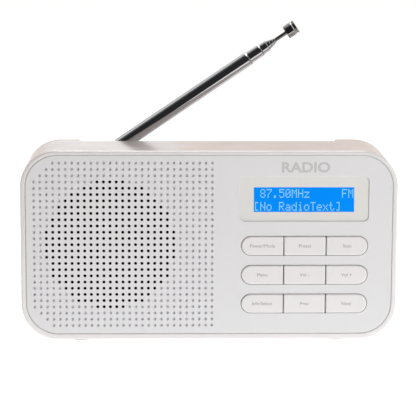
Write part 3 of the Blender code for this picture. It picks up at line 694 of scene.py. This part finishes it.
def shell_body():
    """The outer form, with a rounded rim in front and a larger fillet behind."""
    bm = bmesh.new()
    x, z = sides(SHELL_LOW, SHELL_HIGH)
    front = rounding(bm, x, z, BODY_CORNER, FRONT, RIM_ROUND, steps=5, count=CORNER_STEPS)
    back = rounding(bm, x, z, BODY_CORNER, BACK, BACK_FILLET, direction=-1, steps=8, count=CORNER_STEPS)
    bridge(bm, front[-1], back[-1])
    close(bm, front[0], back[0])
    return solid("shell_body", bm)


def channel(by=0.0):
    """The x and z spans of the antenna's channel, widened by a distance, and open at the top."""
    return (CHANNEL_X[0] - by, CHANNEL_X[1] + by), (CHANNEL_FLOOR - by, SHELL_HIGH.z + WALL)


def shell_room():
    """The room inside, less what stands in it: bay, door frame, channel and screw wells."""
    x, z = sides(PANEL_LOW, PANEL_HIGH, GROOVE)
    bm = bmesh.new()
    corner = PANEL_CORNER + GROOVE
    lip = rounding(bm, x, z, corner, FRONT, ROOM_LIP, outward=-1, count=CORNER_STEPS)
    before = loop(bm, grown(x, z, corner, ROOM_LIP, CORNER_STEPS), FRONT - WALL)
    behind = loop(bm, outline(x, z, corner, CORNER_STEPS), BACK - WALL)
    bridge(bm, before, lip[0])
    bridge(bm, lip[-1], behind)
    close(bm, before, behind)
    room = solid("room", bm)
    start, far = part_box(REAR_SCREWS[0])[0].y + WELL_START, BACK + WALL
    solids = [
        box_solid("bay_walls", sides(BAY_LOW, BAY_HIGH, BAY_WALL), (BAY_LOW.y - BAY_WALL, far)),
        box_solid("door_frame", sides(DOOR_LOW, DOOR_HIGH, WALL), (BACK - 2 * WALL, far)),
        box_solid("channel_walls", channel(WALL), (CHANNEL_FRONT - WALL, far)),
        bars_solid("wells", middles(REAR_SCREWS), (start, far), WELL_OUTER),
    ]
    return placed("room", carved(room, *solids))


def vent_solids():
    """Level slots with round ends behind the loudspeaker."""
    levels = [SPEAKER_Z + (row - (VENTS - 1) / 2) * VENT_PITCH for row in range(VENTS)]
    y = (BACK - 2 * WALL, BACK + WALL)
    return [
        box_solid("vent", around(SPEAKER_X, level, VENT_LONG, VENT_TALL), y, VENT_ROUND) for level in levels
    ]


def foot_pockets():
    bm = bmesh.new()
    for name in FEET:
        low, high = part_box(name)
        middle = (low + high) / 2
        radius, top = (high.x - low.x) / 2 + GAP, high.z + GAP
        lathe(bm, ((0, 0), (0, radius), (top, radius), (top, 0)), (middle.x, middle.y, 0), (0, 0, 1), 40)
    return solid("foot_pockets", bm)


def cabinet_shell():
    far = BACK + WALL
    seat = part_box(REAR_SCREWS[0])[1].y - SCREW_HEAD - GAP
    cutters = [
        shell_room(),
        box_solid("channel", channel(), (CHANNEL_FRONT, far)),
        box_solid("bay", sides(BAY_LOW, BAY_HIGH), (BAY_LOW.y, far)),
        box_solid("door_recess", sides(DOOR_LOW, DOOR_HIGH, GAP), (DOOR_LOW.y - GAP, far), RECESS_CORNER),
        bars_solid("well_bores", middles(REAR_SCREWS), (seat, far), WELL_BORE),
        bars_solid("well_holes", middles(REAR_SCREWS), (seat - 0.004, seat + WALL), SCREW_HOLE, 16),
        bars_solid("jack_holes", middles(JACKS), (BACK - 2 * WALL, far), JACK_HOLE, 40),
        foot_pockets(),
        *vent_solids(),
    ]
    mesh = carved(shell_body(), *cutters)
    settle("cabinet_shell_fine", mesh, SHELL_LOOK, "cabinet", ("cabinet_shell",), sharp=32)


def battery_door():
    """A flush door with a finger notch and grip ribs along its upper edge."""
    x, z = sides(DOOR_LOW, DOOR_HIGH)
    bm = bmesh.new()
    outer = rounding(bm, x, z, DOOR_CORNER, BACK, 0.0003, direction=-1, steps=3)
    inner = loop(bm, outline(x, z, DOOR_CORNER), DOOR_LOW.y)
    bridge(bm, outer[-1], inner)
    close(bm, outer[0], inner)
    middle = (x[0] + x[1]) / 2
    spans = (middle - NOTCH_LONG, middle + NOTCH_LONG), (z[1] - NOTCH_DROPS[0], z[1] - NOTCH_DROPS[1])
    notch = box_solid("notch", spans, (BACK - NOTCH_DEPTH, BACK + WALL), NOTCH_ROUND)
    mesh = carved(solid("door_body", bm), notch)
    settle("battery_door_fine", mesh, DOOR_LOOK, "battery_door", ("battery_door",))
    for rib in range(3):
        bar = bmesh.new()
        spans = around(middle, z[1] - RIB_DROP + rib * RIB_PITCH, RIB_LONG, RIB_TALL)
        low = rounding(bar, *spans, RIB_TALL, BACK - 0.0001, 0.00025, direction=-1, steps=3, count=4)
        base = loop(bar, outline(*spans, RIB_TALL, 4), BACK - RIB_REACH)
        bridge(bar, low[-1], base)
        close(bar, low[0], base)
        piece(f"door_rib_{rib + 1}", bar, DOOR_LOOK, "battery_door", ())


def feet():
    for name in FEET:
        low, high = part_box(name)
        middle = (low + high) / 2
        radius = (high.x - low.x) / 2
        bm = bmesh.new()
        lathe(bm, (
            (0.0, 0), (0.0, radius - 0.0004), (0.00012, radius - 0.00012), (0.0004, radius),
            (high.z, radius), (high.z, 0),
        ), (middle.x, middle.y, 0), (0, 0, 1), 48)
        piece(f"{name}_pad", bm, RUBBER_LOOK, "cabinet", (name,))


# ---- keys and display

KEY_LABELS = {
    "button_power": "Power/Mode", "button_preset": "Preset", "button_scan": "Scan",
    "button_menu": "Menu", "button_volume_down": "Vol -", "button_volume_up": "Vol +",
    "button_select": "Info/Select", "button_previous": "Prev", "button_next": "Next",
}
ROUND_LEFT = ("button_power", "button_menu", "button_select")
ROUND_RIGHT = ("button_scan", "button_volume_up", "button_next")


def keys():
    for name, words in KEY_LABELS.items():
        low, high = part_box(name)
        left, right = name in ROUND_LEFT, name in ROUND_RIGHT
        x = (low.x + (KEY_FLANGE if left else 0), high.x - (KEY_FLANGE if right else 0))
        z = (low.z + KEY_FLANGE, high.z - KEY_FLANGE)
        half = (z[1] - z[0]) / 2
        right_radius, left_radius = half if right else KEY_CORNER, half if left else KEY_CORNER
        radii = (right_radius, left_radius, left_radius, right_radius)
        bm = bmesh.new()
        cap = rounding(bm, x, z, radii, low.y, KEY_ROUND, steps=5, count=12)
        back = loop(bm, outline(x, z, radii, 12), PANEL_BACK + GAP)
        bridge(bm, cap[-1], back)
        foot = outline(*sides(low, high), radii, 12)
        wide = [loop(bm, foot, y) for y in (PANEL_BACK + GAP, PANEL_BACK + KEY_FOOT)]
        bridge_all(bm, [back, *wide])
        close(bm, wide[-1], cap[0])
        piece(f"{name}_cap", bm, KEY_LOOK, name, (name,))
        middle = ((x[0] + x[1]) / 2, low.y, (z[0] + z[1]) / 2)
        lettering(f"{name}_label", words, LABEL_SIZE, middle, name, PRINT_LOOK)


def lettering(name, words, size, place, body, look, weight=0.0, width=None):
    """Printed words, centred on a place, facing forward, and as wide as asked."""
    curve = bpy.data.curves.new(name, "FONT")
    curve.body = words
    curve.size = size
    curve.align_x = "CENTER"
    curve.align_y = "CENTER"
    curve.offset = weight
    curve.extrude = PRINT_THICK
    curve.resolution_u = 3
    item = placed(name, curve)
    bpy.context.view_layer.update()
    mesh = bpy.data.meshes.new_from_object(item.evaluated_get(bpy.context.evaluated_depsgraph_get()))
    bpy.data.objects.remove(item, do_unlink=True)
    stretch = 1.0
    if width:
        xs = [v.co.x for v in mesh.vertices]
        stretch = width / (max(xs) - min(xs))
    upright = Matrix.Rotation(math.radians(90), 4, "X")
    mesh.transform(Matrix.Translation(Vector(place)) @ upright @ Matrix.Diagonal((stretch, 1, 1, 1)))
    mesh.materials.clear()
    settle(name, mesh, look, body, (), weighted=False)


def display_lens():
    """The off-white plate in the recess, with a window for the characters."""
    x, z = sides(LENS_LOW, LENS_HIGH, PLATE_REACH)
    corner = LENS_CORNER - GAP + PLATE_REACH
    bm = bmesh.new()
    outer = rounding(bm, x, z, corner, LENS_LOW.y, LENS_ROUND, steps=3)
    outer.append(loop(bm, outline(x, z, corner), LENS_HIGH.y))
    bridge(bm, outer[-2], outer[-1])
    inner = rounding(bm, WINDOW_X, WINDOW_Z, WINDOW_CORNER, LENS_LOW.y, LENS_ROUND, outward=-1, steps=2)
    inner.append(loop(bm, outline(WINDOW_X, WINDOW_Z, WINDOW_CORNER), LENS_HIGH.y))
    bridge(bm, inner[-2], inner[-1])
    fill(bm, [outer[0], inner[0]])
    fill(bm, [outer[-1], inner[-1]])
    piece("display_plate", bm, LENS_LOOK, "cabinet", ("display_lens",))


# Seven rows of five dots a character, top row first, each row as a hexadecimal number
GLYPHS = {
    " ": "", "8": "0E 11 11 0E 11 11 0E", "7": "1F 01 02 04 08 08 08", ".": "00 00 00 00 00 0C 0C",
    "5": "1F 10 1E 01 01 11 0E", "0": "0E 11 13 15 19 11 0E", "M": "11 1B 15 15 11 11 11",
    "H": "11 11 11 1F 11 11 11", "z": "00 00 1F 02 04 08 1F", "F": "1F 10 10 1E 10 10 10",
    "[": "0E 08 08 08 08 08 0E", "]": "0E 02 02 02 02 02 0E", "N": "11 11 19 15 13 11 11",
    "o": "00 00 0E 11 11 11 0E", "R": "1E 11 11 1E 14 12 11", "a": "00 00 0E 01 0F 11 0F",
    "d": "01 01 0D 13 11 11 0F", "i": "04 00 0C 04 04 04 0E", "T": "1F 04 04 04 04 04 04",
    "e": "00 00 0E 11 1F 10 0E", "x": "00 00 11 0A 04 0A 11", "t": "08 08 1C 08 08 09 06",
}
LINES = (" 87.50MHz     FM", "[No RadioText]  ")


def display():
    """The lit glass behind the window, and the dots of its two lines of characters."""
    bm = bmesh.new()
    near_x = (WINDOW_X[0] + HAIR, WINDOW_X[1] - HAIR)
    near_z = (WINDOW_Z[0] + HAIR, WINDOW_Z[1] - HAIR)
    near = outline(near_x, near_z, WINDOW_CORNER)
    wide = outline(*sides(LCD_LOW, LCD_HIGH), LCD_CORNER)
    loops = [
        loop(bm, points, y)
        for points, y in ((near, LCD_FACE), (near, LCD_LOW.y), (wide, LCD_LOW.y), (wide, LCD_HIGH.y))
    ]
    bridge_all(bm, loops)
    close(bm, loops[0], loops[-1])
    piece("display_glass", bm, BLUE_LOOK, "cabinet", ("lcd_glass",))

    cell = (WINDOW_X[1] - WINDOW_X[0]) / LINE_LENGTH
    wide = cell / 6
    size = (wide * DOT_SHARE, HAIR, DOT_TALL * DOT_SHARE)
    bm = bmesh.new()
    for words, drop in zip(LINES, LINE_DROPS):
        for place, letter in enumerate(words):
            for row, bits in enumerate(GLYPHS[letter].split()):
                for column in range(5):
                    if int(bits, 16) >> (4 - column) & 1:
                        x = WINDOW_X[0] + place * cell + (column + 0.7) * wide
                        z = WINDOW_Z[1] - drop - (row + 0.5) * DOT_TALL
                        block(bm, (x, LCD_FACE - HAIR / 2, z), size)
    piece("display_characters", bm, DOT_LOOK, "cabinet", (), weighted=False)


# ---- antenna

PIVOT = Vector(JOINTS["antenna_fold"]["pos_m"])
DIRECTION = Vector(JOINTS["antenna_extend_1"]["axis"]).normalized()


def reach(node):
    """Where a round node starts and ends along the antenna, from the pivot, and its radius."""
    low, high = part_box(node)
    tilt = math.atan2(DIRECTION.z, DIRECTION.x)
    radius = (high.y - low.y) / 2
    start = ((low.x - PIVOT.x) + radius * math.sin(tilt)) / math.cos(tilt)
    end = ((high.x - PIVOT.x) - radius * math.sin(tilt)) / math.cos(tilt)
    return start, end, radius


def tube(number):
    """One chromed tube, its end rolled in over the next one; its slanted ring faces take a darker copy of the
    chrome as painted shade.
    """
    start, end, radius = reach(f"antenna_section_{number}")
    inner = reach(f"antenna_section_{number + 1}" if number < TUBES else "antenna_rod")[2]
    bore = inner + TUBE_PLAY
    length = end - start
    drop = 0.9 * (radius - inner)
    slope = ROLL_LONG if number < 3 else ROLL_SHORT
    bm = bmesh.new()
    lathe(bm, (
        (0, bore), (0, radius - TUBE_EDGE), (TUBE_EDGE, radius), (length - slope, radius),
        (length - 0.85 * slope, radius - 0.08 * drop), (length - 0.15 * slope, radius - 0.82 * drop),
        (length, radius - drop), (length, bore + 0.00001), (length - 0.0004, bore),
    ), PIVOT + DIRECTION * start, DIRECTION, 48, closed=True)
    bm.normal_update()
    for face in bm.faces:
        # Slanted faces get the darker chrome copy: painted shade
        face.material_index = int(abs(face.normal.dot(DIRECTION)) > RING_SLANT)
    body = "antenna_base" if number == 1 else f"antenna_slide_{number}"
    looks, nodes = (CHROME_LOOK, RING_PAINTED_SHADE_LOOK), (f"antenna_section_{number}",)
    piece(f"antenna_tube_{number}", bm, looks, body, nodes, 25)


def antenna():
    for number in range(1, TUBES + 1):
        tube(number)
    start, end, radius = reach("antenna_rod")
    length = end - start
    bm = bmesh.new()
    lathe(bm, ((0, 0), (0, radius - TUBE_EDGE), (TUBE_EDGE, radius), (length, radius), (length, 0)),
          PIVOT + DIRECTION * start, DIRECTION, 32)
    piece("antenna_inner_rod", bm, ROD_LOOK, "antenna_slide_7", ("antenna_rod",), 30)
    end_cap()


def end_cap():
    """The turned cap: a plain barrel, a shallow groove and a flat head of the full width."""
    start, end, radius = reach("antenna_tip")
    length = end - start
    bm = bmesh.new()
    groove = radius - CAP_GROOVE
    lathe(bm, (
        (0, 0), (0, radius - 0.00035), (0.00012, radius - 0.0001), (0.00035, radius),
        (length - 0.0017, radius), (length - 0.0012, groove), (length - 0.00095, groove),
        (length - 0.0006, radius), (length - 0.00015, radius), (length, radius - 0.00015), (length, 0),
    ), PIVOT + DIRECTION * start, DIRECTION, 48)
    piece("antenna_end_cap", bm, ROD_LOOK, "antenna_slide_7", ("antenna_tip",), 30)


# ---- small parts

def shaft(bm, middle, profile, steps=32, closed=False):
    """A profile of (y, radius) points turned about a line along Y through an (x, z) point."""
    start = profile[0][0]
    profile = [(y - start, radius) for y, radius in profile]
    lathe(bm, profile, (middle[0], start, middle[1]), (0, 1, 0), steps, closed)


def rear_screws():
    """Pan heads with a cross recess, at the bottom of the four wells."""
    for name, (x, z) in zip(REAR_SCREWS, middles(REAR_SCREWS)):
        low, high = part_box(name)
        radius, seat = (high.x - low.x) / 2, high.y - SCREW_HEAD
        bm = bmesh.new()
        shaft(bm, (x, z), (
            (low.y, 0), (low.y, SCREW_SHANK), (seat, SCREW_SHANK), (seat, radius), (high.y - 0.0008, radius),
            (high.y - 0.0003, radius * 0.88), (high.y, radius * 0.55), (high.y, 0),
        ))
        arms = [
            box_solid("arm", around(x, z, *halves), (high.y - 0.0009, BACK))
            for halves in ((CROSS_LONG, CROSS_THIN), (CROSS_THIN, CROSS_LONG))
        ]
        mesh = carved(solid(f"{name}_blank", bm), *arms)
        settle(f"{name}_fine", mesh, STEEL_LOOK, "cabinet", (name,))


def sockets():
    """The black sockets: a bright pin in the one for power, a bright bush in the one for earphones."""
    mouth = BACK - GAP
    rim = mouth - 0.0003
    power, ear = middles(JACKS)

    def turned(name, middle, profile, look, nodes=(), steps=40, closed=False):
        bm = bmesh.new()
        shaft(bm, middle, profile, steps, closed)
        piece(name, bm, look, "cabinet", nodes)

    turned("dc_jack_body", power, (
        (BACK - 0.0110, 0), (BACK - 0.0110, JACK_RADIUS), (rim, JACK_RADIUS), (mouth, 0.0036),
        (mouth, 0.0033), (rim, JACK_BORE), (mouth - 0.0085, JACK_BORE), (mouth - 0.0085, 0),
    ), BLACK_LOOK, ("dc_jack",))
    turned("dc_jack_pin", power, (
        (mouth - 0.0086, 0), (mouth - 0.0086, PIN_RADIUS), (mouth - 0.0019, PIN_RADIUS),
        (mouth - 0.0015, 0.0006), (mouth - 0.0015, 0),
    ), NICKEL_LOOK, steps=32)
    turned("earphone_jack_body", ear, (
        (BACK - 0.0140, 0), (BACK - 0.0140, JACK_BORE), (BACK - 0.0035, JACK_BORE),
        (BACK - 0.0035, JACK_RADIUS), (rim, JACK_RADIUS), (mouth, 0.0036), (mouth, JACK_BORE),
        (mouth - 0.0004, JACK_BORE),
        (mouth - 0.0004, PLUG_RADIUS), (BACK - 0.0120, PLUG_RADIUS), (BACK - 0.0120, 0),
    ), BLACK_LOOK, ("earphone_jack",))
    turned("earphone_jack_bush", ear, (
        (mouth - 0.0045, BUSH_BORE), (mouth - 0.0045, 0.00198), (mouth - 0.0004, 0.00198),
        (mouth - 0.0004, 0.0029), (mouth - 0.0001, 0.0028), (mouth, 0.0026), (mouth, PLUG_RADIUS),
        (mouth - 0.0002, BUSH_BORE),
    ), NICKEL_LOOK, closed=True)


def coil(bm, place, inward):
    """A spring of round wire that narrows away from its strip."""
    rings = []
    count = int(COIL_TURNS * 24)
    for step in range(count + 1):
        part = step / count
        angle = math.tau * COIL_TURNS * part
        radius = COIL_WIDE + (COIL_NARROW - COIL_WIDE) * part
        out = Vector((math.cos(angle), math.sin(angle), 0))
        rise = COIL_WIRE + (SPRING_HEIGHT - 2 * COIL_WIRE) * part
        middle = Vector(place) + out * radius + Vector((0, 0, inward * rise))
        rings.append([
            bm.verts.new(middle + COIL_WIRE * (out * math.cos(turn) + Vector((0, 0, math.sin(turn)))))
            for turn in (math.tau * i / 8 for i in range(8))
        ])
    bridge_all(bm, rings)
    close(bm, rings[0], rings[-1])


def battery_contacts():
    """Nickel strips at both ends of the bay, with a coiled spring or a pressed button for every cell."""
    middle_x = (BAY_LOW.x + BAY_HIGH.x) / 2
    for name, (cells, top) in CONTACTS.items():
        low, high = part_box(name)
        inward = -1 if top else 1
        base = high.z if top else low.z
        face = base + inward * STRIP_THICK
        middle_y = (low.y + high.y) / 2
        bm = bmesh.new()
        middle = ((low.x + high.x) / 2, middle_y, (base + face) / 2)
        block(bm, middle, (high.x - low.x, high.y - low.y, STRIP_THICK))
        for cell in cells:
            place = (middle_x + (cell - 1.5) * CELL_PITCH, middle_y, face)
            if (cell % 2 == 0) != top:
                coil(bm, place, inward)
            else:
                lathe(bm, BUTTON_PROFILE, place, (0, 0, inward), 24)
        piece(f"{name}_fine", bm, NICKEL_LOOK, "cabinet", (name,))


def plate(bm, spans, radii, y, edge):
    """A plate square to Y with both rims softened."""
    front = rounding(bm, *spans, radii, y[0], edge, steps=3)
    back = rounding(bm, *spans, radii, y[1], edge, direction=-1, steps=3)
    bridge(bm, front[-1], back[-1])
    close(bm, front[0], back[0])


def antenna_mount():
    """The fork, its screw with a slotted head, and the antenna's knuckle between the cheeks."""
    low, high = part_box("antenna_bracket")
    x, z = sides(low, high)
    top = (x[1] - x[0]) / 2 - STRAIGHT
    bm = bmesh.new()
    for y in ((low.y, low.y + CHEEK_THICK), (high.y - CHEEK_THICK, high.y)):
        plate(bm, (x, z), (top, top, 0.0002, 0.0002), y, 0.00015)
    plate(bm, (x, (low.z, low.z + FORK_FLOOR)), 0.0001, (low.y + 0.0002, high.y - 0.0002), 0.0001)
    piece("antenna_fork", bm, BRACKET_LOOK, "cabinet", ("antenna_bracket",))

    low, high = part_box("antenna_pivot_screw")
    axis = (PIVOT.x, PIVOT.z)
    radius, seat = (high.x - low.x) / 2, high.y - 0.0008
    bm = bmesh.new()
    shaft(bm, axis, (
        (low.y, 0), (low.y, 0.0012), (seat, 0.0012), (seat, radius), (seat + 0.0002, radius),
        (high.y - 0.0002, radius * 0.82), (high.y, radius * 0.5), (high.y, 0),
    ))
    slot = box_solid("slot", around(*axis, radius, 0.00025), (high.y - 0.0004, BACK))
    mesh = carved(solid("pivot_screw_blank", bm), slot)
    settle("antenna_pivot_screw_fine", mesh, STEEL_LOOK, "cabinet", ("antenna_pivot_screw",))

    bm = bmesh.new()
    front, back = PIVOT.y - LUG_HALF, PIVOT.y + LUG_HALF
    edge = LUG_RADIUS - 0.0003
    shaft(bm, axis, (
        (front, LUG_BORE), (front, edge), (front + 0.0003, LUG_RADIUS), (back - 0.0003, LUG_RADIUS),
        (back, edge), (back, LUG_BORE),
    ), 48, closed=True)
    start, _, radius = reach("antenna_section_1")
    for begin, end, width in (
        (LUG_RADIUS * 0.7, start + 0.002, NECK_RADIUS),
        (start, PLUG_END, radius - 0.0004),
    ):
        profile = ((0, 0), (0, width), (end - begin, width), (end - begin, 0))
        lathe(bm, profile, PIVOT + DIRECTION * begin, DIRECTION, 40)
    piece("antenna_knuckle_fine", bm, CHROME_LOOK, "antenna_base", ("antenna_knuckle",), 30)


# ---- what stays as the frame has it

CARRIED = {
    "lcd_backlight": GUIDE_LOOK, "lcd_bezel": FRAME_LOOK, "control_board": BOARD_LOOK,
    "main_board": BOARD_LOOK, "tuner_module": CAN_LOOK, "board_ribbon": RIBBON_LOOK,
    "speaker_wire": RED_LOOK, "antenna_wire": GREY_LOOK, "speaker_frame": FRAME_LOOK,
    "speaker_cone": PAPER_LOOK, "speaker_magnet": FERRITE_LOOK, "speaker_gasket": FOAM_LOOK,
    "grille_cloth": CLOTH_LOOK, "keypad_mat": MAT_LOOK,
}


def carried_over():
    """The frame's own solids whose shape is right keep it, and get their material here."""
    looks = dict(CARRIED)
    for name in BODIES["cabinet"]:
        if name.startswith(("board_screw", "speaker_screw")):
            looks[name] = STEEL_LOOK
    for name, look in looks.items():
        item = frame["nodes"][name]
        item.data.materials.clear()
        item.data.materials.append(look)


# ---- camera, floor and light

def camera():
    data = bpy.data.cameras.new("Camera")
    data.lens = CAMERA_LENS
    data.sensor_width = 36
    item = placed("Camera", data)
    back = Vector((
        math.sin(CAMERA_AZIMUTH) * math.cos(CAMERA_ELEVATION),
        -math.cos(CAMERA_AZIMUTH) * math.cos(CAMERA_ELEVATION),
        math.sin(CAMERA_ELEVATION),
    ))
    turn = (-back).to_track_quat("-Z", "Y").to_matrix().to_4x4() @ Matrix.Rotation(CAMERA_ROLL, 4, "Z")
    item.matrix_world = Matrix.Translation(CAMERA_AIM + back * CAMERA_DISTANCE) @ turn
    bpy.context.scene.camera = item


def studio():
    """A pale floor that curves up into a pale wall."""
    look, tree, principled = shader("floor_pale", FLOOR_COLOUR, 0.6)
    principled.inputs["Emission Color"].default_value = (1.0, 1.0, 1.0, 1)
    principled.inputs["Emission Strength"].default_value = FLOOR_GLOW
    vary_colour(tree, principled, FLOOR_COLOUR, 0.004, noise(tree, 3, 2))
    bm = bmesh.new()
    profile = [(-4.0, 0.0), (BEND_START, 0.0)]
    for angle in map(math.radians, range(10, 91, 10)):
        profile.append((BEND_START + BEND_RADIUS * math.sin(angle), BEND_RADIUS * (1 - math.cos(angle))))
    profile.append((BEND_START + BEND_RADIUS, 1.6))
    rows = [[bm.verts.new((x, y, z)) for y, z in profile] for x in (-5.0, 5.0)]
    for i in range(len(profile) - 1):
        bm.faces.new((rows[0][i], rows[1][i], rows[1][i + 1], rows[0][i + 1]))
    mesh = mesh_from("studio_sweep", bm)
    mesh.shade_smooth()
    mesh.materials.append(look)
    placed("studio_sweep", mesh)


def card(name, rows, colour, glow, bounce=False):
    """A card through rows of (left, right) points, which only reflections see, or only diffuse light."""
    look, _, principled = shader(f"{name}_look", (0.0, 0.0, 0.0), 0.9, Specular_IOR_Level=0.0)
    principled.inputs["Emission Color"].default_value = (*colour, 1)
    principled.inputs["Emission Strength"].default_value = glow
    bm = bmesh.new()
    rows = [[bm.verts.new(point) for point in row] for row in rows]
    for a, b in zip(rows, rows[1:]):
        bm.faces.new((a[0], a[1], b[1], b[0]))
    mesh = mesh_from(name, bm)
    mesh.materials.append(look)
    item = placed(name, mesh)
    item.visible_camera = False
    item.visible_diffuse = bounce
    item.visible_glossy = not bounce
    item.visible_transmission = False
    item.visible_shadow = False


def across(left, right, *points):
    """The rows of a card that runs from left to right, through (y, z) points."""
    return [((left, y, z), (right, y, z)) for y, z in points]


def cards():
    """What the parts mirror, and the floor's bounce, which only lightens the foot of the panel."""
    near, far, floor, middle, top = -0.22, -1.6, 0.002, 1.2, 2.7
    dark = (0.9, 0.95, 1.0)
    card("dark_room", across(-5.0, 5.0, (near, floor), (far, floor), (far, middle)), dark, 0.035)
    card("dark_upper_left", across(-5.0, -0.6, (far, middle), (far, top)), dark, 0.035)
    card("near_floor", across(-0.8, 0.8, (near, 0.0006), (0.6, 0.0006)), (1.0, 0.97, 0.96), 1.25)
    card("floor_bounce", across(-0.09, 0.09, (-0.068, 0.0003), (-0.022, 0.0003)), (1.0, 0.98, 0.97), 1.42,
         bounce=True)
    card("bright_side", [
        ((x, -1.3, z), (x, 1.0, z)) for x, z in ((1.3, 0.25), (1.3, 1.6), (-0.25, 1.9))
    ], (1, 1, 1), 1.5)
    card("bright_upper_left", across(-1.5, -0.45, (0.0, 1.45), (1.1, 0.7)), (0.97, 1.0, 0.98), 1.0)
    card("bright_back", across(-0.40, 0.6, (1.15, 0.38), (0.78, 0.75)), (1.0, 0.93, 0.90), 3.2)
    card("bright_overhead", across(-0.28, 0.28, (0.78, 0.76), (-0.1, 1.5), (-0.5, 1.55)),
         (1.0, 0.96, 0.94), 7.0)
    card("dim_right", across(-0.006, 1.6, (0.8, 0.004), (0.8, 0.45)), (1.0, 0.88, 0.80), 0.9)
    card("dim_low_left", across(-1.4, -0.006, (0.8, 0.004), (0.8, 0.14)), (1.0, 0.93, 0.88), 0.8)


def area_light(name, place, size, power, colour):
    """A light that shades the parts and isn't mirrored in them."""
    data = bpy.data.lights.new(name, "AREA")
    data.shape = "RECTANGLE"
    data.size, data.size_y = size
    data.energy = power
    data.color = colour
    item = placed(name, data)
    item.location = place
    item.rotation_euler = (Vector(LIGHT_AIM) - Vector(place)).to_track_quat("-Z", "Y").to_euler()
    item.visible_glossy = False


def lights():
    world = bpy.data.worlds.new("Studio")
    bpy.context.scene.world = world
    world.use_nodes = True
    background = world.node_tree.nodes["Background"]
    background.inputs["Color"].default_value = (1.0, 1.0, 1.0, 1)
    background.inputs["Strength"].default_value = WORLD_GLOW
    area_light("key", (0.66, -0.62, 0.26), (0.35, 0.5), 4.05, (1.0, 0.99, 0.98))
    area_light("top", (-0.70, 0.30, 1.0), (1.3, 1.0), 7.2, (1.0, 0.79, 0.70))
    bpy.context.scene.view_settings.view_transform = "Standard"


front_panel()
cabinet_shell()
battery_door()
feet()
keys()
display_lens()
display()
antenna()
rear_screws()
sockets()
battery_contacts()
antenna_mount()
carried_over()
lettering("front_mark", "RADIO", 0.0060, (0.0407, FRONT, 0.0756), "cabinet", MARK_LOOK,
          weight=0.00018, width=0.0205)
camera()
studio()
cards()
lights()
